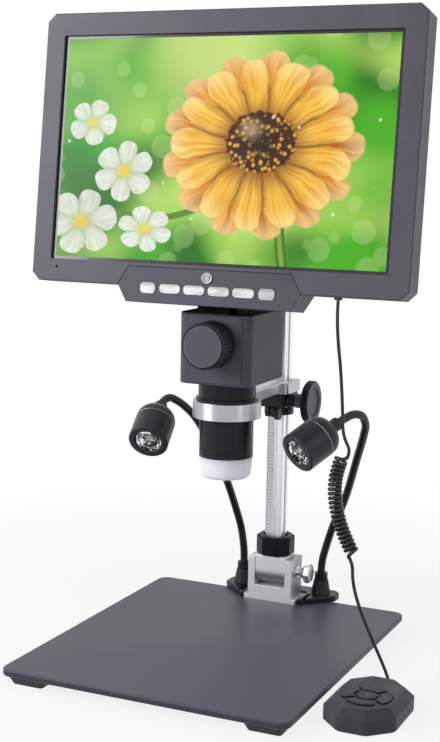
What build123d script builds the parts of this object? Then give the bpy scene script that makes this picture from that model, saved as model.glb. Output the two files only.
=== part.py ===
from build123d import *
import math
import os

# LCD digital microscope: a flat base plate with a tilting column at its back edge, a rack and pinion
# carriage that holds the camera head in a ring, a tablet-sized monitor hinged on the head, two
# gooseneck lamps and a wired remote that stands on the table. Millimetres, +Z up, X to the right,
# the screen faces -Y. The origin is on the table, under the middle of the base plate.

# ---------------------------------------------------------------- base plate and feet
base_width = 183.0
base_depth = 213.0
base_thick = 4.0
base_corner = 7.0
base_edge_break = 0.5
foot_height = 6.0
foot_top_x = 28.0
foot_top_y = 26.0
foot_draft = 4.0
foot_corner = 6.0
foot_inset = 2.0
plate_top = foot_height + base_thick

# ---------------------------------------------------------------- yoke bracket and pivot block
column_y = 97.5
pivot_height = 20.5
yoke_depth = 19.6
yoke_flange_half = 19.4
yoke_flange_thick = 3.0
yoke_half = 16.0
yoke_gap = 0.2
yoke_ear_rise = 9.4
yoke_ear_front_round = 1.2
yoke_ear_rear_round = 7.5
block_half = 10.9
saddle_height = 10.5
block_radius = 9.5
block_rise = 11.5
socket_depth = 4.5
socket_clear = 0.05
pivot_z = plate_top + pivot_height
yoke_inner = block_half + yoke_gap
block_top = pivot_z + block_rise
bolt_radius = 2.5
bolt_clear = 0.05
screw_radius = 2.0
screw_head_radius = 3.8
screw_grip = 8.0
screw_spacing_x = 20.0
screw_spacing_y = 9.0

# clamp thumbscrew
clamp_washer_radius = 3.9
clamp_washer_thick = 0.9
clamp_neck_length = 6.6
clamp_cone_radius = 5.2
clamp_cone_length = 3.4
clamp_head_radius = 7.1
clamp_head_thick = 4.0
clamp_head_sides = 6
clamp_head_round = 2.4
clamp_head_break = 0.8

# ---------------------------------------------------------------- lamp mount and goosenecks
mount_half = 41.0
mount_depth = 33.0
mount_thick = 4.0
mount_corner_cut = 20.0
mount_rear_corner = 6.0
mount_clear = 0.3
boss_x = 29.2
boss_y = 111.0
boss_base_radius = 6.8
boss_top_radius = 5.0
boss_collar_radius = 4.5
boss_collar = 5.0
boss_height = 14.5
mount_slot_gap = 3.2
mount_slot_width = 2.4
mount_slot_length = 13.0
mount_slot_depth = 2.2
mount_screw_x = 29.0
mount_screw_y = 99.5
neck_radius = 2.65
neck_seat_depth = 8.0

# ---------------------------------------------------------------- lamp heads (axis out of the lens)
lamp_radius = 13.0
lamp_length = 28.5
seam_gap = 1.6
seam_depth = 0.35
seam_width = 0.5
lamp_wall = 4.6
lamp_mouth_break = 0.8
lamp_collar_radius = 4.3
lamp_collar_length = 8.0
lamp_shoulder = 8.5
lamp_floor = 11.0
lens_seat = 24.1
lens_step = 0.9
lens_thick = 2.2
lens_crown = 1.2
lamp_fit = 0.1
led_board_thick = 1.6
led_dome_radius = 2.8
left_lens_x = -54.9
left_lens_y = 10.0
left_lens_z = 129.3
right_lens_x = 47.0
right_lens_y = 12.0
right_lens_z = 131.7

# ---------------------------------------------------------------- column with rack
column_side = 12.0
column_corner = 1.2
column_top = 245.0
rack_x = -3.0
rack_width = 5.0
rack_channel_clear = 0.1
rack_channel_depth = 1.6
groove_width = 3.0
groove_depth = 1.5
front_groove_x = 1.4
front_groove_width = 1.2
front_groove_depth = 0.8
gear_module = 0.7
gear_teeth = 10
gear_backlash = 0.14
gear_addendum = 0.5
gear_dedendum = 0.72
gear_pressure = 20.0
rack_proud = 0.3
nut_radius = 13.2
nut_height = 13.2
nut_sides = 8
nut_bore_clear = 0.6

# ---------------------------------------------------------------- carriage
tube_y = 10.3
ring_bottom = 151.2
ring_height = 10.2
ring_radius = 21.4
tube_radius = 17.2
ring_fit = 0.05
arm_half = 8.0
arm_bottom = 157.0
arm_height = 7.2
web_lift = 3.0
sleeve_drop = 1.4
sleeve_height = 7.4
sleeve_half = 11.6
sleeve_front = 15.5
sleeve_back = 10.5
slide_clear = 0.15
rack_relief = 0.3
housing_half = 10.0
housing_height = 9.2
pinion_drop = 4.4
pinion_pocket_clear = 0.3
pinion_width = 4.4
shaft_radius = 2.0
shaft_fit = 0.05
housing_nose = 16.0
housing_nose_radius = 5.0
height_knob_gap = 0.4
height_knob_hub_radius = 4.8
height_knob_hub = 7.4
height_knob_radius = 14.3
height_knob_thick = 5.2
height_knob_recess_radius = 9.8
height_knob_recess = 1.2
height_knob_flutes = 34

# ---------------------------------------------------------------- limit collar
collar_radius = 10.0
collar_height = 6.0
collar_gap = 0.3
collar_lug_half = 3.2
collar_lug_reach = 7.0
collar_slit = 1.0
collar_screw_radius = 1.2
collar_head_radius = 4.1
collar_head_clear = 0.1
collar_head_thick = 3.0
collar_head_flutes = 16

# ---------------------------------------------------------------- camera head
box_half = 23.8
box_front = -12.5
box_back = 47.4
box_bottom = 173.5
box_height = 44.0
box_wall = 2.0
box_corner_radius = 6.0
box_edge_round = 1.0
cover_half = 19.2
cover_inset = 1.2
cover_thick = 2.5
cover_proud = 0.5
cover_gap = 0.1
cover_ledge = 1.8
cover_corner = 2.0
flange_radius = 19.6
flange_thick = 2.2
flange_gap = 0.1
upper_tube_radius = 18.0
lower_tube_radius = 16.9
tube_wall = 2.2
lower_tube_top = 149.4
lower_tube_bottom = 126.4
guide_length = 9.0
carrier_radius = 8.0
guide_fit = 0.08
spigot_radius = 15.0
cap_length = 13.4
cap_wall = 1.2
cap_taper = 1.4
cap_round = 3.2
cap_hole_radius = 9.0
cap_spigot = 3.0
led_ring_inner = 9.2
led_ring_thick = 1.2
led_ring_lands = 8
focus_x = 1.2
focus_z = 199.2
focus_flange_radius = 13.2
focus_flange_thick = 1.0
focus_grip_radius = 14.3
focus_grip_length = 14.4
focus_face_radius = 12.3
focus_face_break = 1.3
focus_flutes = 44
focus_gap = 0.4
focus_pinion_front = -7.6
carrier_bottom = 131.5
carrier_top = 184.0
carrier_bore = 6.4
glass_crown = 1.2
glass_edge = 1.8
carrier_foot_width = 9.0
carrier_foot_thick = 3.0
rack_bar_depth = 4.4
focus_travel = 5.0
focus_reach = 2.5
sensor_board_thick = 1.6
sensor_board_clear = 0.3
sensor_board_depth = 30.0
sensor_board_shift = 4.0
sensor_side = 9.0
sensor_thick = 1.6
memory_width = 14.0
memory_depth = 12.0
memory_thick = 2.0
memory_shift = 8.0
sensor_ledge = 3.0
sensor_z = 192.5

# ---------------------------------------------------------------- monitor
screen_tilt = 6.7
hinge_inset = 13.9
hinge_y = -6.5
hinge_rise = 8.0
monitor_corner = 5.2
monitor_depth = 20.0
monitor_wall = 2.0
monitor_back_chamfer = 4.0
bezel_thick = 4.0
bezel_lip = 2.0
opening_width = 222.0
opening_height = 139.6
opening_radius = 0.8
bezel_side = 13.0
bezel_rail = 14.0
lcd_side = 3.7
lcd_rail = 2.8
screen_gap = 5.4
monitor_width = opening_width + 2 * bezel_side
monitor_height = opening_height + 2 * bezel_rail
lcd_width = opening_width + 2 * lcd_side
lcd_height = opening_height + 2 * lcd_rail
screen_rise = monitor_height / 2 + screen_gap
lcd_thick = 4.5
lcd_clear = 0.3
panel_x = -1.6
panel_top_half = 53.8
panel_mid_half = 60.4
panel_bottom_half = 54.2
panel_top_gap = 2.2
panel_mid_lift = 0.2
panel_hang = 10.0
panel_top_drop = opening_height / 2 + panel_top_gap
panel_mid_drop = monitor_height / 2 - panel_mid_lift
panel_bottom_drop = monitor_height / 2 + panel_hang
panel_gap = 0.2
panel_wall = 2.0
panel_rim = 2.6
tab_depth = 26.0
tab_chamfer = 3.0
tab_wall = 3.0
neck_half = 10.6
neck_half_depth = 6.0
neck_slot_side = 0.4
neck_slot_half = 8.6
neck_slot_top = 7.6
hinge_block_half = 20.0
pin_radius = 2.0
pin_fit = 0.05
pin_half = 17.0
screw_post_radius = 3.6
screw_post_gap = 0.7
screw_post_side = 7.0
screw_post_x = opening_width / 2 - screw_post_side
rear_screw_radius = 1.4
rear_screw_head = 2.4
rear_screw_sink = 2.0
rear_screw_bite = 2.2
board_width = 120.0
board_height = 76.0
board_thick = 1.6
board_post = 5.0
board_post_radius = 2.6
vent_count = 9
vent_pitch = 6.0
vent_length = 46.0
vent_width = 2.2
vent_rise = 34.0
board_rise = -14.0
pinhole_side = 4.8
pinhole_x = -opening_width / 2 + pinhole_side
pinhole_y = -opening_height / 2 - pinhole_side
pinhole_radius = 0.8

# buttons on the panel
button_row_drop = 0.9
button_drop = monitor_height / 2 + button_row_drop
button_pitch = 16.2
button_width = 13.9
button_height = 5.8
end_button_offset = 39.2
end_button_width = 10.2
end_button_height = 7.0
button_corner = 2.4
button_gap = 0.2
button_proud = 0.9
button_flange = 0.6
button_flange_thick = 0.8
button_rest_gap = 0.15
round_button_gap = 7.1
round_button_drop = opening_height / 2 + round_button_gap
round_button_radius = 3.5
round_button_flange = 0.5
round_button_groove = 2.2
round_button_groove_width = 0.5

# ---------------------------------------------------------------- remote
remote_gap = 5.5
remote_y = -49.5
remote_half_x = 21.5
remote_x = base_width / 2 + remote_gap + remote_half_x
remote_half_y = 31.0
remote_cut = 13.0
remote_edge_round = 6.0
remote_split = 5.5
remote_height = 13.0
remote_bevel_rise = 4.5
remote_bevel_run = 5.0
remote_wall = 1.8
pad_shift_x = 0.4
pad_shift_y = -5.5
pad_x = remote_x + pad_shift_x
pad_y = remote_y + pad_shift_y
pad_centre_radius = 5.9
pad_inner_radius = 7.4
pad_outer_radius = 14.5
pad_key_angle = 74.0
pad_gap = 0.25
pad_proud = 0.8
pad_lip = 0.6
pad_lip_thick = 0.8
pad_rest_gap = 0.15

# ---------------------------------------------------------------- curly cord of the remote
cord_radius = 1.0
coil_radius = 4.5
gland_radius = 2.4
gland_reach = 1.4
gland_x = 78.4
cord_break_x = 82.9
cord_break_y = -10.0
cord_break_z = 171.6
gland_inset = 10.2
remote_gland_reach = 2.5
remote_gland_z = 3.2

os.makedirs("parts", exist_ok=True)


def path_radii(points):
    """Arc radius at each inner point: 0.45 of the shorter run over the tangent of half the turn."""
    radii = []
    for before, here, after in zip(points, points[1:], points[2:]):
        a, b = Vector(*here) - Vector(*before), Vector(*after) - Vector(*here)
        turn = a.get_angle(b)
        radii.append(0.45 * min(a.length, b.length) / math.tan(math.radians(turn / 2)))
    return radii


def dome_point(radius, rise, height):
    """Point half way out on a spherical cap, so that its arc is square to the axis at the top."""
    ball = (radius**2 + rise**2) / (2 * rise)
    return (radius / 2, height + rise - ball + math.copysign(math.sqrt(ball**2 - radius**2 / 4), ball))


# ================================================================= base
with BuildPart() as base_plate:
    with BuildSketch(Plane.XY.offset(foot_height)):
        RectangleRounded(base_width, base_depth, base_corner)
    extrude(amount=base_thick)
    chamfer(base_plate.faces().sort_by(Axis.Z)[-1].edges(), base_edge_break)
    chamfer(base_plate.faces().sort_by(Axis.Z)[0].edges(), base_edge_break)
    with BuildSketch(Plane.XY.offset(foot_height)):
        with Locations((0, column_y)):
            with GridLocations(screw_spacing_x, screw_spacing_y, 2, 2):
                Circle(screw_radius)
        with Locations((mount_screw_x, mount_screw_y), (-mount_screw_x, mount_screw_y)):
            Circle(screw_radius)
    extrude(amount=base_thick, mode=Mode.SUBTRACT)
    with BuildSketch(Plane.XY.offset(foot_height)) as sink_mouth:
        with Locations((0, column_y)):
            with GridLocations(screw_spacing_x, screw_spacing_y, 2, 2):
                Circle(screw_head_radius)
        with Locations((mount_screw_x, mount_screw_y), (-mount_screw_x, mount_screw_y)):
            Circle(screw_head_radius)
    extrude(amount=screw_head_radius - screw_radius, taper=45, mode=Mode.SUBTRACT)

with BuildPart() as base_feet:
    foot_x = base_width / 2 - foot_inset - foot_top_x / 2
    foot_y = base_depth / 2 - foot_inset - foot_top_y / 2
    with BuildSketch(Plane.XY.offset(foot_height)):
        with GridLocations(2 * foot_x, 2 * foot_y, 2, 2):
            RectangleRounded(foot_top_x, foot_top_y, foot_corner)
    extrude(amount=-foot_height, taper=math.degrees(math.atan2(foot_draft, foot_height)))

with BuildPart() as yoke_bracket:
    with BuildSketch(Plane.XY.offset(plate_top)):
        with Locations((0, column_y)):
            RectangleRounded(2 * yoke_flange_half, yoke_depth, 1.5)
    extrude(amount=yoke_flange_thick)
    with BuildSketch(Plane.YZ.offset(-yoke_half)):
        with Locations((column_y, plate_top)):
            yoke_side = Rectangle(yoke_depth, pivot_height + yoke_ear_rise, align=(Align.CENTER, Align.MIN))
        ear_corners = yoke_side.vertices().group_by(Axis.Z)[-1].sort_by(Axis.Y)
        fillet(ear_corners[0], yoke_ear_front_round)
        fillet(ear_corners[-1], yoke_ear_rear_round)
    extrude(amount=2 * yoke_half)
    with BuildSketch(Plane.XZ.offset(-column_y)):
        with Locations((0, plate_top + saddle_height)):
            Rectangle(2 * yoke_inner, 2 * pivot_height, align=(Align.CENTER, Align.MIN))
    extrude(amount=yoke_depth, both=True, mode=Mode.SUBTRACT)
    with BuildSketch(Plane.YZ):
        with Locations((column_y, pivot_z)):
            Circle(bolt_radius + bolt_clear)
    extrude(amount=yoke_half, both=True, mode=Mode.SUBTRACT)
    with BuildSketch(Plane.XY.offset(plate_top)):
        with Locations((0, column_y)):
            with GridLocations(screw_spacing_x, screw_spacing_y, 2, 2):
                Circle(screw_radius)
    extrude(amount=screw_grip, mode=Mode.SUBTRACT)

# countersunk screws, all of one size, driven up through the plate
mount_grip = mount_thick - 0.6
with BuildPart() as base_screws:
    with BuildSketch(Plane.XY.offset(foot_height)):
        with Locations((0, column_y)):
            with GridLocations(screw_spacing_x, screw_spacing_y, 2, 2):
                Circle(screw_radius)
    extrude(amount=base_thick + screw_grip)
    with BuildSketch(Plane.XY.offset(foot_height)):
        with Locations((mount_screw_x, mount_screw_y), (-mount_screw_x, mount_screw_y)):
            Circle(screw_radius)
    extrude(amount=base_thick + mount_grip)
    with BuildSketch(Plane.XY.offset(foot_height)):
        with Locations((0, column_y)):
            with GridLocations(screw_spacing_x, screw_spacing_y, 2, 2):
                Circle(screw_head_radius)
        with Locations((mount_screw_x, mount_screw_y), (-mount_screw_x, mount_screw_y)):
            Circle(screw_head_radius)
    extrude(amount=screw_head_radius - screw_radius, taper=45)

# ================================================================= lamp mount and goosenecks
mount_front = column_y - yoke_depth / 2
mount_top = plate_top + mount_thick
boss_top = mount_top + boss_height
mount_slot_x = yoke_flange_half + mount_slot_gap + mount_slot_width / 2
with BuildPart() as lamp_mount:
    with BuildSketch(Plane.XY.offset(plate_top)) as mount_outline:
        with Locations((0, mount_front)):
            Rectangle(2 * mount_half, mount_depth, align=(Align.CENTER, Align.MIN))
        chamfer(mount_outline.vertices().group_by(Axis.Y)[0], mount_corner_cut)
        fillet(mount_outline.vertices().group_by(Axis.Y)[-1], mount_rear_corner)
        with Locations((0, column_y)):
            Rectangle(
                2 * (yoke_flange_half + mount_clear), yoke_depth + 2 * mount_clear, mode=Mode.SUBTRACT
            )
    extrude(amount=mount_thick)
    chamfer(lamp_mount.faces().sort_by(Axis.Z)[-1].edges(), 0.8)
    with BuildSketch(Plane.XY.offset(mount_top)):
        with Locations((boss_x, boss_y), (-boss_x, boss_y)):
            Circle(boss_base_radius)
    extrude(
        amount=boss_height - boss_collar,
        taper=math.degrees(math.atan2(boss_base_radius - boss_top_radius, boss_height - boss_collar)),
    )
    with BuildSketch(Plane.XY.offset(boss_top - boss_collar)):
        with Locations((boss_x, boss_y), (-boss_x, boss_y)):
            Circle(boss_collar_radius)
    extrude(amount=boss_collar)
    with BuildSketch(Plane.XY.offset(mount_top)):
        with Locations((mount_slot_x, column_y), (-mount_slot_x, column_y)):
            RectangleRounded(mount_slot_width, mount_slot_length, mount_slot_width / 2 - 0.1)
    extrude(amount=-mount_slot_depth, mode=Mode.SUBTRACT)
    with BuildSketch(Plane.XY.offset(boss_top)):
        with Locations((boss_x, boss_y), (-boss_x, boss_y)):
            Circle(neck_radius)
    extrude(amount=-neck_seat_depth, mode=Mode.SUBTRACT)
    with BuildSketch(Plane.XY.offset(plate_top)):
        with Locations((mount_screw_x, mount_screw_y), (-mount_screw_x, mount_screw_y)):
            Circle(screw_radius)
    extrude(amount=mount_grip, mode=Mode.SUBTRACT)

left_foot = (-boss_x, boss_y, boss_top - neck_seat_depth)
right_foot = (boss_x, boss_y, boss_top - neck_seat_depth)
# the lamp axes: where the lens end of each head is, and which way it looks
left_lens_end = Vector(left_lens_x, left_lens_y, left_lens_z)
left_aim = Vector(0.17, -0.83, -0.53).normalized()
right_lens_end = Vector(right_lens_x, right_lens_y, right_lens_z)
right_aim = Vector(-0.44, -0.78, -0.45).normalized()
left_rear = left_lens_end - left_aim * lamp_length
right_rear = right_lens_end - right_aim * lamp_length
left_lamp = Plane(origin=left_rear, x_dir=(1, 0, 0.3), z_dir=left_aim)
right_lamp = Plane(origin=right_rear, x_dir=(1, 0, -0.9), z_dir=right_aim)
left_seat = left_rear - left_aim * (lamp_collar_length - neck_seat_depth * 0.75)
right_seat = right_rear - right_aim * (lamp_collar_length - neck_seat_depth * 0.75)
left_lead = left_rear - left_aim * (lamp_collar_length + 3.5)
right_lead = right_rear - right_aim * (lamp_collar_length + 3.5)

left_points = [
    left_foot,
    (-boss_x, boss_y, 36.5),
    (-30.3, 107.6, 54.0),
    (-33.2, 101.4, 71.5),
    (-35.7, 92.9, 90.0),
    (-39.4, 83.6, 108.5),
    (-44.2, 74.5, 125.5),
    (-49.4, 65.5, 139.5),
    (-54.9, 57.6, 148.0),
    (-60.0, 50.5, 152.8),
    tuple(left_lead),
    tuple(left_seat),
]
right_points = [
    right_foot,
    (boss_x, boss_y, 36.0),
    (34.2, 107.4, 51.0),
    (40.8, 101.8, 67.5),
    (49.6, 95.6, 84.0),
    (56.4, 88.2, 101.0),
    (62.6, 80.4, 117.5),
    (68.8, 72.4, 132.0),
    (73.6, 64.6, 144.0),
    (73.2, 57.0, 151.4),
    (69.6, 50.4, 152.9),
    tuple(right_lead),
    tuple(right_seat),
]
with BuildPart() as gooseneck_left:
    with BuildLine() as left_neck_line:
        FilletPolyline(*left_points, radius=path_radii(left_points))
    with BuildSketch(Plane(origin=left_foot, z_dir=(0, 0, 1))):
        Circle(neck_radius)
    sweep()

with BuildPart() as gooseneck_right:
    with BuildLine() as right_neck_line:
        FilletPolyline(*right_points, radius=path_radii(right_points))
    with BuildSketch(Plane(origin=right_foot, z_dir=(0, 0, 1))):
        Circle(neck_radius)
    sweep()
print("gooseneck radii", [round(r, 1) for r in path_radii(left_points) + path_radii(right_points)])

# ================================================================= lamp heads
# one head is drawn along +Z from its rear, then placed on each lamp's plane
lens_radius_out = lamp_radius - lamp_wall
with BuildPart() as lamp_shell:
    with BuildSketch(Plane.XZ):
        with BuildLine():
            Line((0, -lamp_collar_length), (lamp_collar_radius - 0.5, -lamp_collar_length))
            Line((lamp_collar_radius - 0.5, -lamp_collar_length), (lamp_collar_radius, 0.5 - lamp_collar_length))
            Line((lamp_collar_radius, 0.5 - lamp_collar_length), (lamp_collar_radius, -1.0))
            Line((lamp_collar_radius, -1.0), (lamp_collar_radius + 1.6, 0))
            EllipticalCenterArc(
                (lamp_collar_radius + 1.6, lamp_shoulder),
                lamp_radius - lamp_collar_radius - 1.6,
                lamp_shoulder,
                start_angle=270,
                arc_size=90,
            )
            Line((lamp_radius, lamp_shoulder), (lamp_radius, lamp_length - 0.6))
            Line((lamp_radius, lamp_length - 0.6), (lamp_radius - 0.6, lamp_length))
            Line((lamp_radius - 0.6, lamp_length), (lens_radius_out + lamp_mouth_break, lamp_length))
            Line(
                (lens_radius_out + lamp_mouth_break, lamp_length),
                (lens_radius_out, lamp_length - lamp_mouth_break),
            )
            Line((lens_radius_out, lamp_length - lamp_mouth_break), (lens_radius_out, lens_seat))
            Line((lens_radius_out, lens_seat), (lens_radius_out - lens_step, lens_seat))
            Line((lens_radius_out - lens_step, lens_seat), (lens_radius_out - lens_step, lamp_floor))
            Line((lens_radius_out - lens_step, lamp_floor), (0, lamp_floor))
            Line((0, lamp_floor), (0, -lamp_collar_length))
        make_face()
    revolve(axis=Axis.Z)
    with BuildSketch(Plane.XY.offset(-lamp_collar_length)):
        Circle(neck_radius)
    extrude(amount=neck_seat_depth * 0.75, mode=Mode.SUBTRACT)
    # seam between the barrel and its rear cap
    with BuildSketch(Plane.XZ):
        with Locations((lamp_radius, lamp_shoulder + seam_gap)):
            Rectangle(2 * seam_depth, seam_width)
    revolve(axis=Axis.Z, mode=Mode.SUBTRACT)

with BuildPart() as lamp_led:
    with BuildSketch(Plane.XY.offset(lamp_floor)):
        Circle(lens_radius_out - lens_step - lamp_fit)
    extrude(amount=led_board_thick)
    with Locations((0, 0, lamp_floor + led_board_thick)):
        Box(7, 7, 1.0, align=(Align.CENTER, Align.CENTER, Align.MIN))
    with Locations((0, 0, lamp_floor + led_board_thick + 1.0)):
        Sphere(led_dome_radius, arc_size1=0)

with BuildPart() as lamp_lens:
    with BuildSketch(Plane.XZ):
        with BuildLine():
            Line((0, lens_seat), (lens_radius_out - lamp_fit, lens_seat))
            Line((lens_radius_out - lamp_fit, lens_seat), (lens_radius_out - lamp_fit, lens_seat + lens_thick))
            ThreePointArc(
                (lens_radius_out - lamp_fit, lens_seat + lens_thick),
                dome_point(lens_radius_out - lamp_fit, lens_crown, lens_seat + lens_thick),
                (0, lens_seat + lens_thick + lens_crown),
            )
            Line((0, lens_seat + lens_thick + lens_crown), (0, lens_seat))
        make_face()
    revolve(axis=Axis.Z)

with BuildPart() as lamp_left_shell:
    with Locations(left_lamp.location):
        add(lamp_shell.part)
with BuildPart() as lamp_left_led:
    with Locations(left_lamp.location):
        add(lamp_led.part)
with BuildPart() as lamp_left_lens:
    with Locations(left_lamp.location):
        add(lamp_lens.part)
with BuildPart() as lamp_right_shell:
    with Locations(right_lamp.location):
        add(lamp_shell.part)
with BuildPart() as lamp_right_led:
    with Locations(right_lamp.location):
        add(lamp_led.part)
with BuildPart() as lamp_right_lens:
    with Locations(right_lamp.location):
        add(lamp_lens.part)

# ================================================================= tilting column
column_foot = block_top - socket_depth
with BuildPart() as pivot_block:
    with BuildSketch(Plane.YZ.offset(-block_half)):
        with Locations((column_y, pivot_z)):
            Circle(block_radius)
            Rectangle(2 * block_radius, block_rise, align=(Align.CENTER, Align.MIN))
    extrude(amount=2 * block_half)
    chamfer(pivot_block.faces().sort_by(Axis.Z)[-1].edges(), 0.6)
    with BuildSketch(Plane.YZ):
        with Locations((column_y, pivot_z)):
            Circle(bolt_radius + bolt_clear)
    extrude(amount=block_half, both=True, mode=Mode.SUBTRACT)
    with BuildSketch(Plane.XY.offset(block_top)):
        with Locations((0, column_y)):
            RectangleRounded(
                column_side + 2 * socket_clear, column_side + 2 * socket_clear, column_corner
            )
    extrude(amount=-socket_depth, mode=Mode.SUBTRACT)

clamp_head_x = yoke_half + clamp_neck_length
with BuildPart() as clamp_screw:
    with BuildSketch(Plane.YZ.offset(-yoke_half - 0.8)):
        with Locations((column_y, pivot_z)):
            Circle(bolt_radius)
    extrude(amount=2 * yoke_half + 0.8 + clamp_neck_length)
    chamfer(clamp_screw.faces().sort_by(Axis.X)[0].edges(), 0.5)
    with BuildSketch(Plane.YZ.offset(yoke_half + 0.1)):
        with Locations((column_y, pivot_z)):
            Circle(clamp_washer_radius)
    extrude(amount=clamp_washer_thick)
    clamp_plane = Plane(origin=(clamp_head_x, column_y, pivot_z), x_dir=(0, 1, 0), z_dir=(1, 0, 0))
    with BuildSketch(clamp_plane):
        Circle(clamp_cone_radius)
    extrude(
        amount=-clamp_cone_length,
        taper=math.degrees(math.atan2(clamp_cone_radius - bolt_radius, clamp_cone_length)),
    )
    # head with rounded corners and broken edges
    with BuildPart(mode=Mode.PRIVATE) as clamp_head:
        with BuildSketch(clamp_plane) as clamp_face:
            RegularPolygon(clamp_head_radius, clamp_head_sides)
            fillet(clamp_face.vertices(), clamp_head_round)
        extrude(amount=clamp_head_thick)
        chamfer(clamp_head.faces().sort_by(Axis.X)[0].edges(), clamp_head_break)
        chamfer(clamp_head.faces().sort_by(Axis.X)[-1].edges(), clamp_head_break)
    add(clamp_head.part)

with BuildPart() as column_nut:
    nut_bore = column_side / 2 * math.sqrt(2) - column_corner * (math.sqrt(2) - 1) + nut_bore_clear
    with BuildSketch(Plane.XY.offset(block_top)) as nut_face:
        with Locations((0, column_y)):
            RegularPolygon(nut_radius, nut_sides, rotation=180 / nut_sides)
        fillet(nut_face.vertices(), 1.6)
    extrude(amount=nut_height)
    chamfer(column_nut.faces().sort_by(Axis.Z)[0].edges(), 1.0)
    chamfer(column_nut.faces().sort_by(Axis.Z)[-1].edges(), 0.8)
    with BuildSketch(Plane.XY.offset(block_top)):
        with Locations((0, column_y)):
            Circle(nut_bore)
    extrude(amount=nut_height, mode=Mode.SUBTRACT)

# ---- gear geometry shared by the column rack and the focus rack
pitch = math.pi * gear_module
pitch_radius = gear_module * gear_teeth / 2
base_radius = pitch_radius * math.cos(math.radians(gear_pressure))
tip_radius = pitch_radius + gear_addendum
root_radius = pitch_radius - gear_dedendum
flank = math.tan(math.radians(gear_pressure))


def tooth_half(radius):
    """Half thickness of a pinion tooth on an involute flank, straight below the base circle."""
    inv = lambda a: math.tan(a) - a
    at = max(radius, base_radius + 0.02)
    angle = (pitch / 2 - gear_backlash) / (2 * pitch_radius)
    angle += inv(math.radians(gear_pressure)) - inv(math.acos(base_radius / at))
    return at * math.sin(angle) * (1 if radius >= at else 0.86)


with BuildSketch() as pinion_face:
    Circle(root_radius)
    flank_radii = [root_radius - 0.15, base_radius + 0.05, pitch_radius, tip_radius]
    with BuildLine():
        upper = [(r, tooth_half(r)) for r in flank_radii]
        Polyline(*upper, *[(x, -y) for x, y in reversed(upper)], close=True)
    tooth = make_face(mode=Mode.PRIVATE)
    with PolarLocations(0, gear_teeth):
        add(tooth)

rack_tip_half = (pitch / 2 - gear_backlash) / 2 - gear_addendum * flank
rack_root_half = (pitch / 2 - gear_backlash) / 2 + gear_dedendum * flank

column_front = column_y - column_side / 2
channel_floor = column_front + rack_channel_depth
rack_tip_y = column_front - rack_proud
rack_pitch_y = rack_tip_y + gear_addendum
rack_root_y = rack_pitch_y + gear_dedendum
sleeve_bottom = arm_bottom - sleeve_drop
housing_bottom = sleeve_bottom - housing_height
pinion_z = sleeve_bottom - pinion_drop
pinion_y = rack_pitch_y - pitch_radius

with BuildPart() as column:
    with BuildSketch(Plane.XY.offset(column_foot)):
        with Locations((0, column_y)):
            RectangleRounded(column_side, column_side, column_corner)
        with Locations((rack_x, column_front)):
            Rectangle(
                rack_width + 2 * rack_channel_clear,
                2 * rack_channel_depth,
                mode=Mode.SUBTRACT,
            )
        with Locations((front_groove_x, column_front)):
            Rectangle(front_groove_width, 2 * front_groove_depth, mode=Mode.SUBTRACT)
        with Locations((column_side / 2, column_y), (-column_side / 2, column_y)):
            Rectangle(2 * groove_depth, groove_width, mode=Mode.SUBTRACT)
        with Locations((0, column_y + column_side / 2)):
            Rectangle(groove_width, 2 * groove_depth, mode=Mode.SUBTRACT)
    extrude(amount=column_top - column_foot)

rack_first = block_top + nut_height + 1.0
rack_steps_down = math.floor((pinion_z - rack_first) / pitch)
rack_steps_up = math.floor((column_top - 3.0 - pinion_z) / pitch)
rack_low = pinion_z - rack_steps_down * pitch
rack_high = pinion_z + rack_steps_up * pitch
with BuildPart() as column_rack:
    with BuildSketch(Plane.YZ.offset(rack_x - rack_width / 2)):
        with Locations((rack_root_y, rack_low)):
            Rectangle(channel_floor - rack_root_y, rack_high - rack_low, align=(Align.MIN, Align.MIN))
        with BuildLine():
            Polyline(
                (rack_root_y, -rack_root_half),
                (rack_tip_y, -rack_tip_half),
                (rack_tip_y, rack_tip_half),
                (rack_root_y, rack_root_half),
                close=True,
            )
        rack_tooth = make_face(mode=Mode.PRIVATE)
        with Locations(
            *[(0, rack_low + (k + 0.5) * pitch) for k in range(rack_steps_down + rack_steps_up)]
        ):
            add(rack_tooth)
    extrude(amount=rack_width)

# ================================================================= carriage
sleeve_front_y = column_y - sleeve_front
slot_half = column_side / 2 + slide_clear
slot_front = column_y - rack_tip_y + rack_relief
pocket_radius = tip_radius + pinion_pocket_clear
ring_top = ring_bottom + ring_height
with BuildSketch() as column_slot:
    with Locations((0, column_y + slot_half)):
        Rectangle(2 * slot_half, slot_half + slot_front, align=(Align.CENTER, Align.MAX))

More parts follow.
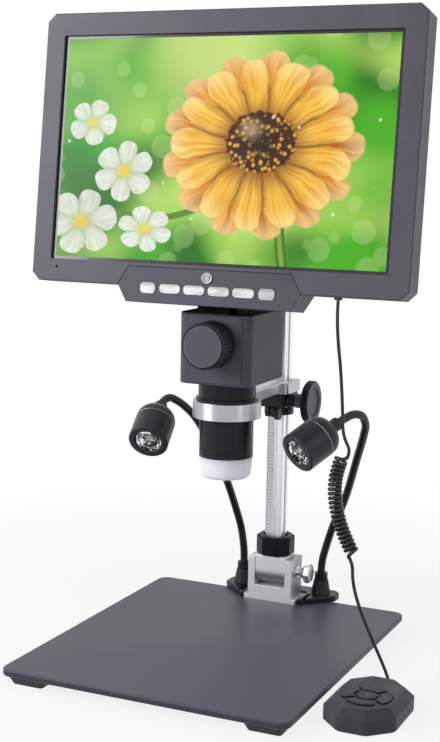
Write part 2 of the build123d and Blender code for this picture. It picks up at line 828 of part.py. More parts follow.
with BuildPart() as carriage:
    with BuildSketch(Plane.XY.offset(arm_bottom)):
        with Locations((0, tube_y)):
            Rectangle(2 * arm_half, sleeve_front_y + 2.0 - tube_y, align=(Align.CENTER, Align.MIN))
    extrude(amount=arm_height)
    fillet(carriage.edges().filter_by(Axis.Y).group_by(Axis.Z)[-1], 1.6)
    with BuildSketch(Plane.XY.offset(sleeve_bottom)):
        with Locations((0, column_y + (sleeve_back - sleeve_front) / 2)):
            RectangleRounded(2 * sleeve_half, sleeve_back + sleeve_front, 3.0)
    extrude(amount=sleeve_height)
    # the ring is lower than the arm and meets it through a sloped web
    with BuildSketch(Plane.XY.offset(ring_bottom)):
        with Locations((0, tube_y)):
            Circle(ring_radius)
    extrude(amount=ring_height)
    with BuildSketch(Plane.YZ.offset(-arm_half + 1.5)):
        with BuildLine():
            Polyline(
                (tube_y, ring_bottom + web_lift),
                (tube_y + ring_radius + 2.0, ring_bottom + web_lift),
                (tube_y + ring_radius + 16.0, arm_bottom + 1.0),
                (tube_y, arm_bottom + 1.0),
                close=True,
            )
        make_face()
    extrude(amount=2 * arm_half - 3.0)
    with BuildSketch(Plane.XY.offset(ring_bottom)):
        with Locations((0, tube_y)):
            Circle(tube_radius + ring_fit)
    extrude(amount=2 * ring_height, mode=Mode.SUBTRACT)
    with BuildSketch(Plane.XY.offset(ring_top)):
        with Locations((0, tube_y)):
            Circle(ring_radius + 0.1)
    extrude(amount=arm_height, mode=Mode.SUBTRACT)
    with BuildSketch(Plane.XY.offset(sleeve_bottom)):
        add(column_slot.sketch)
    extrude(amount=sleeve_height + arm_height, mode=Mode.SUBTRACT)

with BuildPart() as pinion_housing:
    with BuildSketch(Plane.XY.offset(housing_bottom)):
        with Locations((0, column_y)):
            RectangleRounded(2 * housing_half, 2 * sleeve_back, 2.5)
        with Locations((0, sleeve_front_y)):
            Rectangle(2 * housing_half, sleeve_front, align=(Align.CENTER, Align.MIN))
    extrude(amount=housing_height)
    fillet(pinion_housing.edges().filter_by(Axis.Z).group_by(Axis.Y)[0], 2.0)
    with BuildSketch(Plane(origin=(0, pinion_y, pinion_z), x_dir=(0, 1, 0), z_dir=(1, 0, 0))):
        Circle(min(housing_nose_radius, pinion_drop, housing_height - pinion_drop))
    extrude(amount=housing_nose)
    with BuildSketch(Plane.XY.offset(housing_bottom)):
        add(column_slot.sketch)
    extrude(amount=housing_height, mode=Mode.SUBTRACT)
    pinion_plane = Plane(
        origin=(rack_x - pinion_width / 2 - 0.4, pinion_y, pinion_z), x_dir=(0, 1, 0), z_dir=(1, 0, 0)
    )
    with BuildSketch(pinion_plane):
        Circle(pocket_radius)
    extrude(amount=pinion_width + 0.8, mode=Mode.SUBTRACT)
    with BuildSketch(Plane(origin=(-housing_half, pinion_y, pinion_z), x_dir=(0, 1, 0), z_dir=(1, 0, 0))):
        Circle(shaft_radius + shaft_fit)
    extrude(amount=housing_half + housing_nose, mode=Mode.SUBTRACT)

knob_start = housing_nose + height_knob_gap
with BuildPart() as pinion_shaft:
    with BuildSketch(
        Plane(origin=(rack_x - pinion_width / 2, pinion_y, pinion_z), x_dir=(0, 1, 0), z_dir=(1, 0, 0))
    ):
        add(pinion_face.sketch)
    extrude(amount=pinion_width)
    with BuildSketch(Plane(origin=(-housing_half, pinion_y, pinion_z), x_dir=(0, 1, 0), z_dir=(1, 0, 0))):
        Circle(shaft_radius)
    extrude(amount=housing_half + knob_start + height_knob_hub)

with BuildPart() as height_knob:
    knob_plane = Plane(
        origin=(knob_start, pinion_y, pinion_z), x_dir=(0, 1, 0), z_dir=(1, 0, 0)
    )
    with BuildSketch(knob_plane):
        Circle(height_knob_hub_radius)
    extrude(amount=height_knob_hub)
    with BuildSketch(knob_plane.offset(height_knob_hub)):
        Circle(height_knob_radius)
    extrude(amount=height_knob_thick)
    chamfer(height_knob.edges().filter_by(GeomType.CIRCLE).sort_by(SortBy.RADIUS)[-2:], 0.9)
    with BuildSketch(knob_plane.offset(height_knob_hub)):
        with PolarLocations(height_knob_radius + 0.25, height_knob_flutes):
            Rectangle(1.2, 1.2, rotation=45)
    extrude(amount=height_knob_thick, mode=Mode.SUBTRACT)
    with BuildSketch(knob_plane.offset(height_knob_hub + height_knob_thick)):
        Circle(height_knob_recess_radius)
    extrude(amount=-height_knob_recess, taper=20, mode=Mode.SUBTRACT)
    with BuildSketch(knob_plane):
        Circle(shaft_radius)
    extrude(amount=height_knob_hub, mode=Mode.SUBTRACT)

collar_top = housing_bottom - collar_gap
collar_bottom = collar_top - collar_height
collar_screw_y = column_y - collar_radius - collar_lug_reach / 2 - collar_head_clear
collar_screw_z = collar_top - collar_head_radius
with BuildPart() as limit_collar:
    with BuildSketch(Plane.XY.offset(collar_bottom)):
        with Locations((0, column_y)):
            Circle(collar_radius)
            Rectangle(2 * collar_lug_half, collar_radius + collar_lug_reach, align=(Align.CENTER, Align.MAX))
        add(column_slot.sketch, mode=Mode.SUBTRACT)
        with Locations((0, column_y)):
            Rectangle(
                collar_slit, 2 * collar_radius + collar_lug_reach, align=(Align.CENTER, Align.MAX),
                mode=Mode.SUBTRACT,
            )
    extrude(amount=collar_height)
    with BuildSketch(Plane.YZ):
        with Locations((collar_screw_y, collar_screw_z)):
            Circle(collar_screw_radius + shaft_fit)
    extrude(amount=collar_radius, both=True, mode=Mode.SUBTRACT)

with BuildPart() as collar_screw:
    with BuildSketch(Plane.YZ.offset(-collar_lug_half - 1.2)):
        with Locations((collar_screw_y, collar_screw_z)):
            Circle(collar_screw_radius)
    extrude(amount=2 * collar_lug_half + 1.6)
    with BuildSketch(
        Plane(
            origin=(collar_lug_half + 0.1, collar_screw_y, collar_screw_z), x_dir=(0, 1, 0), z_dir=(1, 0, 0)
        )
    ):
        Circle(collar_head_radius)
        with PolarLocations(collar_head_radius + 0.2, collar_head_flutes):
            Rectangle(0.9, 0.9, rotation=45, mode=Mode.SUBTRACT)
    extrude(amount=collar_head_thick)

# ================================================================= camera head
box_top = box_bottom + box_height
box_mid_y = (box_front + box_back) / 2
box_depth = box_back - box_front
inner_front = box_front - cover_proud + cover_thick
neck_top_z = box_top + hinge_rise
cover_height = box_height - 2 * cover_inset
with BuildPart() as camera_body:
    with BuildSketch(Plane.XY.offset(box_bottom)):
        with Locations((0, box_mid_y)):
            RectangleRounded(2 * box_half, box_depth, box_corner_radius)
    extrude(amount=box_height)
    fillet(camera_body.faces().sort_by(Axis.Z)[-1].edges(), box_edge_round)
    fillet(camera_body.faces().sort_by(Axis.Z)[0].edges(), box_edge_round)
    # hinge neck on the roof
    with BuildSketch(Plane.YZ.offset(-neck_half)):
        with Locations((hinge_y, box_top - box_edge_round)):
            Rectangle(2 * neck_half_depth, hinge_rise + box_edge_round, align=(Align.CENTER, Align.MIN))
        with Locations((hinge_y, neck_top_z)):
            Circle(neck_half_depth)
    extrude(amount=2 * neck_half)
    with BuildSketch(Plane.YZ):
        with Locations((hinge_y, neck_top_z)):
            Circle(pin_radius + pin_fit)
    extrude(amount=neck_half, both=True, mode=Mode.SUBTRACT)
    # room inside, behind the ledge that the front cover lies on
    with Locations((0, inner_front + cover_ledge, box_bottom + box_wall)):
        Box(
            2 * (box_half - box_wall),
            box_back - box_wall - inner_front - cover_ledge,
            box_height - 2 * box_wall,
            align=(Align.CENTER, Align.MIN, Align.MIN),
            mode=Mode.SUBTRACT,
        )
    with BuildSketch(Plane.XZ.offset(-inner_front - cover_ledge)):
        with Locations((0, box_bottom + box_height / 2)):
            RectangleRounded(2 * (cover_half - cover_ledge), cover_height - 2 * cover_ledge, cover_corner)
    extrude(amount=cover_ledge + 0.01, mode=Mode.SUBTRACT)
    with BuildSketch(Plane.XZ.offset(-inner_front)):
        with Locations((0, box_bottom + box_height / 2)):
            RectangleRounded(2 * (cover_half + cover_gap), cover_height + 2 * cover_gap, cover_corner)
    extrude(amount=2 * cover_thick, mode=Mode.SUBTRACT)
    with BuildSketch(Plane.XY.offset(box_bottom)):
        with Locations((0, tube_y)):
            Circle(spigot_radius)
    extrude(amount=box_wall, mode=Mode.SUBTRACT)
    # ledges that carry the sensor board
    with Locations((0, tube_y, sensor_z - sensor_ledge)):
        with GridLocations(2 * (box_half - box_wall) - sensor_ledge + box_wall, 0, 2, 1):
            Box(
                sensor_ledge + box_wall, 26, sensor_ledge, align=(Align.CENTER, Align.CENTER, Align.MIN)
            )
    # cooling slots in the back wall
    with BuildSketch(Plane.XZ.offset(-box_back)):
        with Locations((0, box_bottom + box_height / 2)):
            with GridLocations(0, 4.0, 1, 5):
                SlotOverall(24.0, 1.8)
    extrude(amount=box_wall, mode=Mode.SUBTRACT)

with BuildPart() as camera_front:
    with BuildSketch(Plane.XZ.offset(-inner_front)):
        with Locations((0, box_bottom + box_height / 2)):
            RectangleRounded(2 * cover_half, cover_height, cover_corner)
    extrude(amount=cover_thick)
    chamfer(camera_front.faces().sort_by(Axis.Y)[0].edges(), 0.4)
    with BuildSketch(Plane.XZ.offset(-inner_front)):
        with Locations((focus_x, focus_z)):
            Circle(4.5)
    extrude(amount=-cover_ledge)
    with BuildSketch(Plane.XZ):
        with Locations((focus_x, focus_z)):
            Circle(shaft_radius + shaft_fit)
    extrude(amount=4 * (cover_thick + cover_ledge), both=True, mode=Mode.SUBTRACT)

flange_bottom = ring_top + flange_gap
flange_top = flange_bottom + flange_thick
guide_bottom = flange_bottom - guide_length
with BuildPart() as tube_upper:
    with BuildSketch(Plane.XY.offset(lower_tube_top)):
        with Locations((0, tube_y)):
            Circle(tube_radius)
    extrude(amount=flange_bottom - lower_tube_top)
    with BuildSketch(Plane.XY.offset(flange_bottom)):
        with Locations((0, tube_y)):
            Circle(flange_radius)
    extrude(amount=flange_thick)
    chamfer(tube_upper.edges().filter_by(GeomType.CIRCLE).sort_by(SortBy.RADIUS)[-2:], 0.4)
    with BuildSketch(Plane.XY.offset(flange_top)):
        with Locations((0, tube_y)):
            Circle(upper_tube_radius)
    extrude(amount=box_bottom - flange_top)
    with BuildSketch(Plane.XY.offset(box_bottom)):
        with Locations((0, tube_y)):
            Circle(spigot_radius)
    extrude(amount=box_wall)
    with BuildSketch(Plane.XY.offset(lower_tube_top)):
        with Locations((0, tube_y)):
            Circle(spigot_radius - tube_wall)
    extrude(amount=guide_bottom - lower_tube_top, mode=Mode.SUBTRACT)
    with BuildSketch(Plane.XY.offset(flange_bottom)):
        with Locations((0, tube_y)):
            Circle(spigot_radius - tube_wall)
    extrude(amount=box_height, mode=Mode.SUBTRACT)
    with BuildSketch(Plane.XY.offset(guide_bottom)):
        with Locations((0, tube_y)):
            Circle(carrier_radius + guide_fit)
    extrude(amount=guide_length, mode=Mode.SUBTRACT)

with BuildPart() as tube_lower:
    with BuildSketch(Plane.XY.offset(lower_tube_bottom)):
        with Locations((0, tube_y)):
            Circle(lower_tube_radius)
            Circle(lower_tube_radius - tube_wall, mode=Mode.SUBTRACT)
    extrude(amount=lower_tube_top - lower_tube_bottom)
    # grip grooves round the lower half
    with BuildSketch(Plane.XZ.offset(-tube_y)):
        with GridLocations(0, 1.6, 1, 3):
            with Locations((lower_tube_radius, lower_tube_bottom + 4.0)):
                Rectangle(0.6, 0.6)
    revolve(axis=Axis((0, tube_y, 0), (0, 0, 1)), mode=Mode.SUBTRACT)

cap_top_radius = lower_tube_radius - tube_wall - 0.05
cap_bottom = lower_tube_bottom - cap_length
with BuildPart() as diffuser_cap:
    with BuildSketch(Plane.XY.offset(lower_tube_bottom)):
        with Locations((0, tube_y)):
            Circle(lower_tube_radius)
    extrude(amount=-cap_length, taper=math.degrees(math.atan2(cap_taper, cap_length)))
    fillet(diffuser_cap.faces().sort_by(Axis.Z)[0].edges(), cap_round)
    with BuildSketch(Plane.XY.offset(lower_tube_bottom)):
        with Locations((0, tube_y)):
            Circle(cap_top_radius)
    extrude(amount=cap_spigot)
    with BuildSketch(Plane.XY.offset(lower_tube_bottom + cap_spigot)):
        with Locations((0, tube_y)):
            Circle(cap_top_radius - cap_wall)
    extrude(amount=-(cap_length + cap_spigot - cap_wall), taper=3, mode=Mode.SUBTRACT)
    with BuildSketch(Plane.XY.offset(cap_bottom)):
        with Locations((0, tube_y)):
            Circle(cap_hole_radius)
    extrude(amount=cap_length, mode=Mode.SUBTRACT)

led_ring_z = lower_tube_bottom + cap_spigot
led_ring_outer = lower_tube_radius - tube_wall - 0.05
with BuildPart() as led_ring:
    with BuildSketch(Plane.XY.offset(led_ring_z)):
        with Locations((0, tube_y)):
            Circle(led_ring_outer)
            Circle(led_ring_inner, mode=Mode.SUBTRACT)
    extrude(amount=led_ring_thick)
    with Locations((0, tube_y, led_ring_z)):
        with PolarLocations((led_ring_inner + led_ring_outer - cap_wall) / 2, led_ring_lands):
            Box(2.4, 2.4, 0.9, align=(Align.CENTER, Align.CENTER, Align.MAX))

focus_rack_x = focus_x + pitch_radius
focus_steps = math.ceil((focus_travel + focus_reach) / pitch)
focus_rack_low = focus_z - focus_steps * pitch
focus_rack_high = focus_z + focus_steps * pitch
rack_bar_y = focus_pinion_front
with BuildPart() as lens_carrier:
    with BuildSketch(Plane.XY.offset(carrier_bottom)):
        with Locations((0, tube_y)):
            Circle(carrier_radius)
    extrude(amount=carrier_top - carrier_bottom)
    # foot plate that carries the rack forward to the pinion
    with Locations((focus_rack_x + gear_dedendum, rack_bar_y, carrier_top - carrier_foot_thick)):
        Box(
            carrier_foot_width,
            tube_y - rack_bar_y,
            carrier_foot_thick,
            align=(Align.MIN, Align.MIN, Align.MIN),
        )
    with Locations((focus_rack_x + gear_dedendum, rack_bar_y, carrier_top - carrier_foot_thick)):
        Box(
            3.0,
            rack_bar_depth,
            focus_rack_high - carrier_top + carrier_foot_thick,
            align=(Align.MIN, Align.MIN, Align.MIN),
        )
    with BuildSketch(Plane.XZ.offset(-rack_bar_y - rack_bar_depth)):
        with BuildLine():
            Polyline(
                (focus_rack_x + gear_dedendum + 0.2, -rack_root_half - 0.2 * flank),
                (focus_rack_x - gear_addendum, -rack_tip_half),
                (focus_rack_x - gear_addendum, rack_tip_half),
                (focus_rack_x + gear_dedendum + 0.2, rack_root_half + 0.2 * flank),
                close=True,
            )
        focus_tooth = make_face(mode=Mode.PRIVATE)
        with Locations(*[(0, focus_rack_low + (k + 0.5) * pitch) for k in range(2 * focus_steps)]):
            add(focus_tooth)
    extrude(amount=rack_bar_depth)
    with BuildSketch(Plane.XY.offset(carrier_bottom)):
        with Locations((0, tube_y)):
            Circle(carrier_bore)
    extrude(amount=carrier_top - carrier_bottom, mode=Mode.SUBTRACT)

glass_bottom = carrier_bottom + glass_crown + 0.6
with BuildPart() as lens_glass:
    with BuildSketch(Plane.XZ.offset(-tube_y)):
        with BuildLine():
            ThreePointArc(
                (0, glass_bottom - glass_crown),
                dome_point(carrier_bore, -glass_crown, glass_bottom),
                (carrier_bore, glass_bottom),
            )
            Line((carrier_bore, glass_bottom), (carrier_bore, glass_bottom + glass_edge))
            ThreePointArc(
                (carrier_bore, glass_bottom + glass_edge),
                dome_point(carrier_bore, glass_crown, glass_bottom + glass_edge),
                (0, glass_bottom + glass_edge + glass_crown),
            )
            Line((0, glass_bottom + glass_edge + glass_crown), (0, glass_bottom - glass_crown))
        make_face()
    revolve(axis=Axis((0, tube_y, 0), (0, 0, 1)))

with BuildPart() as sensor_board:
    with Locations((0, tube_y + sensor_board_shift, sensor_z)):
        Box(
            2 * (box_half - box_wall - sensor_board_clear),
            sensor_board_depth,
            sensor_board_thick,
            align=(Align.CENTER, Align.CENTER, Align.MIN),
        )
    with Locations((0, tube_y, sensor_z)):
        Box(sensor_side, sensor_side, sensor_thick, align=(Align.CENTER, Align.CENTER, Align.MAX))
    with Locations((-memory_shift, tube_y + memory_shift, sensor_z + sensor_board_thick)):
        Box(memory_width, memory_depth, memory_thick, align=(Align.CENTER, Align.CENTER, Align.MIN))

cover_face = inner_front - cover_thick
focus_start = cover_face - focus_gap
focus_front = focus_start - focus_flange_thick - focus_grip_length - focus_face_break
with BuildPart() as focus_knob:
    with BuildSketch(Plane.XZ.offset(-focus_start)):
        with Locations((focus_x, focus_z)):
            Circle(focus_flange_radius)
    extrude(amount=focus_flange_thick)
    focus_plane = Plane(
        origin=(focus_x, focus_start - focus_flange_thick, focus_z), x_dir=(1, 0, 0), z_dir=(0, -1, 0)
    )
    with BuildSketch(focus_plane):
        Circle(focus_grip_radius)
        with PolarLocations(focus_grip_radius + 0.25, focus_flutes):
            Rectangle(1.2, 1.2, rotation=45, mode=Mode.SUBTRACT)
    extrude(amount=focus_grip_length)
    with BuildSketch(focus_plane.offset(focus_grip_length)):
        Circle(focus_grip_radius - 0.7)
    extrude(
        amount=focus_face_break,
        taper=math.degrees(math.atan2(focus_grip_radius - 0.7 - focus_face_radius, focus_face_break)),
    )
    with BuildSketch(Plane.XZ.offset(-focus_start)):
        with Locations((focus_x, focus_z)):
            Circle(shaft_radius)
    extrude(amount=focus_flange_thick + 0.6 * focus_grip_length, mode=Mode.SUBTRACT)

with BuildPart() as focus_shaft:
    shaft_end = rack_bar_y + rack_bar_depth + 1.0
    with BuildSketch(Plane.XZ.offset(-shaft_end)):
        with Locations((focus_x, focus_z)):
            Circle(shaft_radius)
    extrude(amount=shaft_end - focus_start + focus_flange_thick + 0.6 * focus_grip_length)
    with BuildSketch(
        Plane(origin=(focus_x, rack_bar_y + rack_bar_depth, focus_z), x_dir=(1, 0, 0), z_dir=(0, -1, 0))
    ):
        add(pinion_face.sketch)
    extrude(amount=rack_bar_depth)

# ================================================================= monitor
tilt_cos, tilt_sin = math.cos(math.radians(screen_tilt)), math.sin(math.radians(screen_tilt))
screen_y = hinge_y + screen_rise * tilt_sin - hinge_inset * tilt_cos
screen_z = neck_top_z + screen_rise * tilt_cos + hinge_inset * tilt_sin
# the plane of the screen: X to the right, Y up the screen, Z out of it
screen = Plane(origin=(0, screen_y, screen_z), x_dir=(1, 0, 0), z_dir=(0, -tilt_cos, tilt_sin))
outward = Axis((0, screen_y, screen_z), (0, -tilt_cos, tilt_sin))
shell_front = screen.offset(-bezel_thick)
shell_floor = screen.offset(-(monitor_depth - monitor_wall))
hinge_line = Plane(origin=(0, hinge_y, neck_top_z), x_dir=screen.y_dir, z_dir=(1, 0, 0))

with BuildSketch() as case_outline:
    Rectangle(monitor_width, monitor_height)
    chamfer(case_outline.vertices(), monitor_corner)
with BuildSketch() as panel_outline:
    with BuildLine():
        Polyline(
            (panel_x - panel_top_half, -panel_top_drop),
            (panel_x - panel_mid_half, -panel_mid_drop),
            (panel_x - panel_bottom_half, -panel_bottom_drop),
            (panel_x + panel_bottom_half, -panel_bottom_drop),
            (panel_x + panel_mid_half, -panel_mid_drop),
            (panel_x + panel_top_half, -panel_top_drop),
            close=True,
        )
    make_face()
with BuildSketch() as panel_hole:
    add(panel_outline.sketch)
    offset(amount=panel_gap, kind=Kind.INTERSECTION)
with BuildSketch() as panel_inside:
    add(panel_outline.sketch)
    offset(amount=-panel_rim, kind=Kind.INTERSECTION)
post_y = lcd_height / 2 + lcd_clear + screw_post_gap + screw_post_radius
display_back = bezel_lip + lcd_thick

with BuildPart() as monitor_bezel:
    with BuildSketch(screen):
        add(case_outline.sketch)
    extrude(amount=-bezel_thick)
    chamfer(monitor_bezel.faces().sort_by(outward)[-1].edges(), 0.7)
    with BuildSketch(screen):
        RectangleRounded(opening_width, opening_height, opening_radius)
        add(panel_hole.sketch)
    extrude(amount=-bezel_thick, mode=Mode.SUBTRACT)
    with BuildSketch(screen.offset(-bezel_lip)):
        Rectangle(lcd_width + 2 * lcd_clear, lcd_height + 2 * lcd_clear)
    extrude(amount=-bezel_thick, mode=Mode.SUBTRACT)
    with BuildSketch(shell_front):
        with GridLocations(2 * screw_post_x, 2 * post_y, 2, 2):
            Circle(rear_screw_radius)
    extrude(amount=rear_screw_bite, mode=Mode.SUBTRACT)
    with BuildSketch(screen):
        with Locations((pinhole_x, pinhole_y)):
            Circle(pinhole_radius)
    extrude(amount=-bezel_lip, mode=Mode.SUBTRACT)

shell_depth = monitor_depth - bezel_thick
straight_depth = shell_depth - monitor_back_chamfer - monitor_wall / 2
with BuildPart() as monitor_rear:
    with BuildSketch(shell_front):
        add(case_outline.sketch)
    extrude(amount=-shell_depth)
    chamfer(monitor_rear.faces().sort_by(outward)[0].edges(), monitor_back_chamfer)
    # room inside, which follows the chamfered back edge
    with BuildSketch(shell_front) as room:
        Rectangle(monitor_width - 2 * monitor_wall, monitor_height - 2 * monitor_wall)
        chamfer(room.vertices(), monitor_corner - 0.6 * monitor_wall)
    extrude(amount=-straight_depth, mode=Mode.SUBTRACT)
    with BuildSketch(shell_front.offset(-straight_depth)) as lower_room:
        Rectangle(monitor_width - 2 * monitor_wall, monitor_height - 2 * monitor_wall)
        chamfer(lower_room.vertices(), monitor_corner - 0.6 * monitor_wall)
    extrude(amount=-(shell_depth - straight_depth - monitor_wall), taper=45, mode=Mode.SUBTRACT)
    # the tab that carries the hinge, with the display's place and two pockets taken out of it
    with BuildSketch(shell_front):
        add(panel_outline.sketch)
    extrude(amount=-(tab_depth - bezel_thick))
    chamfer(monitor_rear.faces().sort_by(outward)[0].edges(), tab_chamfer)
    with BuildSketch(shell_front):
        Rectangle(lcd_width + 2 * lcd_clear, lcd_height + 2 * lcd_clear)
    extrude(amount=-(display_back + lcd_clear - bezel_thick), mode=Mode.SUBTRACT)
    with BuildSketch(shell_front):
        add(panel_inside.sketch)
        Rectangle(2 * hinge_block_half, 2 * monitor_height, mode=Mode.SUBTRACT)
    extrude(amount=-(tab_depth - bezel_thick - tab_wall), mode=Mode.SUBTRACT)
    # slot for the neck of the camera, open below
    with BuildSketch(hinge_line.offset(-neck_half - neck_slot_side)):
        with Locations((neck_slot_top, 0)):
            Rectangle(3 * neck_slot_top, 2 * neck_slot_half, align=(Align.MAX, Align.CENTER))
    extrude(amount=2 * (neck_half + neck_slot_side), mode=Mode.SUBTRACT)
    with BuildSketch(hinge_line):
        Circle(pin_radius + pin_fit)
    extrude(amount=pin_half, both=True, mode=Mode.SUBTRACT)
    # posts for the case screws and for the board
    with BuildSketch(shell_floor):
        with GridLocations(2 * screw_post_x, 2 * post_y, 2, 2):
            Circle(screw_post_radius)
    extrude(amount=monitor_depth - monitor_wall - bezel_thick)
    with BuildSketch(shell_floor):
        with Locations((0, board_rise)):
            with GridLocations(board_width - 4 * board_post_radius, board_height - 4 * board_post_radius, 2, 2):
                Circle(board_post_radius)
    extrude(amount=board_post)
    with BuildSketch(screen.offset(-monitor_depth)):
        with GridLocations(2 * screw_post_x, 2 * post_y, 2, 2):
            Circle(rear_screw_radius)
    extrude(amount=monitor_depth, mode=Mode.SUBTRACT)
    with BuildSketch(screen.offset(-monitor_depth)):
        with GridLocations(2 * screw_post_x, 2 * post_y, 2, 2):
            Circle(rear_screw_head)
    extrude(amount=rear_screw_sink, mode=Mode.SUBTRACT)
    # cooling slots in the back
    with BuildSketch(screen.offset(-monitor_depth)):
        with Locations((0, vent_rise)):
            with GridLocations(vent_pitch, 0, vent_count, 1):
                SlotOverall(vent_length, vent_width, rotation=90)
    extrude(amount=monitor_wall, mode=Mode.SUBTRACT)
    # raised collar where the cord of the remote comes out of the lower wall
    gland_plane = Plane(
        origin=screen.from_local_coords((gland_x, -monitor_height / 2, -gland_inset)),
        x_dir=(1, 0, 0),
        z_dir=-screen.y_dir,
    )
    with BuildSketch(gland_plane):
        Circle(gland_radius)
    extrude(amount=gland_reach)

with BuildPart() as lcd_panel:
    with BuildSketch(screen.offset(-bezel_lip)):
        Rectangle(lcd_width, lcd_height)
    extrude(amount=-lcd_thick)

with BuildPart() as main_board:
    with BuildSketch(shell_floor.offset(board_post)):
        with Locations((0, board_rise)):
            Rectangle(board_width, board_height)
    extrude(amount=board_thick)
    with BuildSketch(shell_floor.offset(board_post + board_thick)):
        with Locations((-18, board_rise + 8)):
            Rectangle(18, 18)
        with Locations((22, board_rise + 10), (22, board_rise - 12)):
            Rectangle(14, 9)
    extrude(amount=1.4)

with BuildPart() as monitor_screws:
    with BuildSketch(screen.offset(-monitor_depth)):
        with GridLocations(2 * screw_post_x, 2 * post_y, 2, 2):
            Circle(rear_screw_head)
    extrude(amount=rear_screw_sink)
    with BuildSketch(screen.offset(-monitor_depth)):
        with GridLocations(2 * screw_post_x, 2 * post_y, 2, 2):
            Circle(rear_screw_radius)
    extrude(amount=shell_depth + rear_screw_bite)

with BuildPart() as hinge_pin:
    with BuildSketch(hinge_line):
        Circle(pin_radius)
    extrude(amount=pin_half, both=True)

# ---- button panel, flush with the bezel, and its buttons
button_offsets = [-end_button_offset, -1.5 * button_pitch, -0.5 * button_pitch]
button_offsets += [0.5 * button_pitch, 1.5 * button_pitch, end_button_offset]
with BuildSketch() as button_mouths:
    with Locations(*[(panel_x + x, -button_drop) for x in button_offsets[1:-1]]):
        RectangleRounded(
            button_width + 2 * button_gap, button_height + 2 * button_gap, button_corner + button_gap
        )
    with Locations(*[(panel_x + x, -button_drop) for x in (button_offsets[0], button_offsets[-1])]):
        RectangleRounded(
            end_button_width + 2 * button_gap, end_button_height + 2 * button_gap, button_corner + button_gap
        )
    with Locations((panel_x, -round_button_drop)):
        Circle(round_button_radius + button_gap)

flange_reach = button_flange + 2 * button_gap
with BuildPart() as button_panel:
    with BuildSketch(screen):
        add(panel_outline.sketch)
    extrude(amount=-panel_wall)
    chamfer(button_panel.faces().sort_by(outward)[-1].edges(), 0.3)
    with BuildSketch(screen):
        add(button_mouths.sketch)
    extrude(amount=-panel_wall, mode=Mode.SUBTRACT)
    # rim that stands on the tab behind, clear of the display and the round button
    with BuildSketch(screen.offset(-panel_wall)):
        add(panel_outline.sketch)
        add(panel_inside.sketch, mode=Mode.SUBTRACT)
        with Locations((0, -lcd_height / 2 - 2 * lcd_clear)):
            Rectangle(monitor_width, monitor_height, align=(Align.CENTER, Align.MIN), mode=Mode.SUBTRACT)
        with Locations((panel_x, -round_button_drop)):
            Circle(round_button_radius + flange_reach, mode=Mode.SUBTRACT)
    extrude(amount=panel_wall - bezel_thick)

# masters of the two button sizes and of the round one: z = 0 is the panel's front face
flange_top_n = -(panel_wall + button_rest_gap)
with BuildPart() as mid_button:
    with BuildSketch(Plane.XY.offset(flange_top_n - button_flange_thick)):
        RectangleRounded(
            button_width + 2 * button_flange, button_height + 2 * button_flange, button_corner + button_flange
        )
    extrude(amount=button_flange_thick)
    with BuildSketch(Plane.XY.offset(flange_top_n)):
        RectangleRounded(button_width, button_height, button_corner)
    extrude(amount=button_proud - flange_top_n)
    fillet(mid_button.faces().sort_by(Axis.Z)[-1].edges(), 0.45)
with BuildPart() as end_button:
    with BuildSketch(Plane.XY.offset(flange_top_n - button_flange_thick)):
        RectangleRounded(
            end_button_width + 2 * button_flange,
            end_button_height + 2 * button_flange,
            button_corner + button_flange,
        )
    extrude(amount=button_flange_thick)
    with BuildSketch(Plane.XY.offset(flange_top_n)):
        RectangleRounded(end_button_width, end_button_height, button_corner)
    extrude(amount=button_proud - flange_top_n)
    fillet(end_button.faces().sort_by(Axis.Z)[-1].edges(), 0.45)

button_spots = [screen * Pos(panel_x + x, -button_drop, 0) for x in button_offsets]
with BuildPart() as button_1:
    with Locations(button_spots[0]):
        add(end_button.part)
with BuildPart() as button_2:
    with Locations(button_spots[1]):
        add(mid_button.part)
with BuildPart() as button_3:
    with Locations(button_spots[2]):
        add(mid_button.part)
with BuildPart() as button_4:
    with Locations(button_spots[3]):
        add(mid_button.part)
with BuildPart() as button_5:
    with Locations(button_spots[4]):
        add(mid_button.part)
with BuildPart() as button_6:
    with Locations(button_spots[5]):
        add(end_button.part)

with BuildPart() as power_button:
    round_spot = Plane(screen * Pos(panel_x, -round_button_drop, 0))
    with BuildSketch(round_spot.offset(flange_top_n - button_flange_thick)):
        Circle(round_button_radius + round_button_flange)
    extrude(amount=button_flange_thick)
    with BuildSketch(round_spot.offset(flange_top_n)):
        Circle(round_button_radius)
    extrude(amount=button_proud - flange_top_n)
    chamfer(power_button.faces().sort_by(outward)[-1].edges(), 0.4)
    with BuildSketch(round_spot.offset(button_proud)):
        Circle(round_button_groove + round_button_groove_width / 2)
        Circle(round_button_groove - round_button_groove_width / 2, mode=Mode.SUBTRACT)
    extrude(amount=-0.4, mode=Mode.SUBTRACT)

# ================================================================= remote
with BuildSketch() as remote_outline:
    with Locations((remote_x, remote_y)):
        Rectangle(2 * remote_half_x, 2 * remote_half_y)
    chamfer(remote_outline.vertices(), remote_cut)
    fillet(remote_outline.vertices(), remote_edge_round)
with BuildSketch() as remote_room:
    add(remote_outline.sketch)
    offset(amount=-remote_wall)

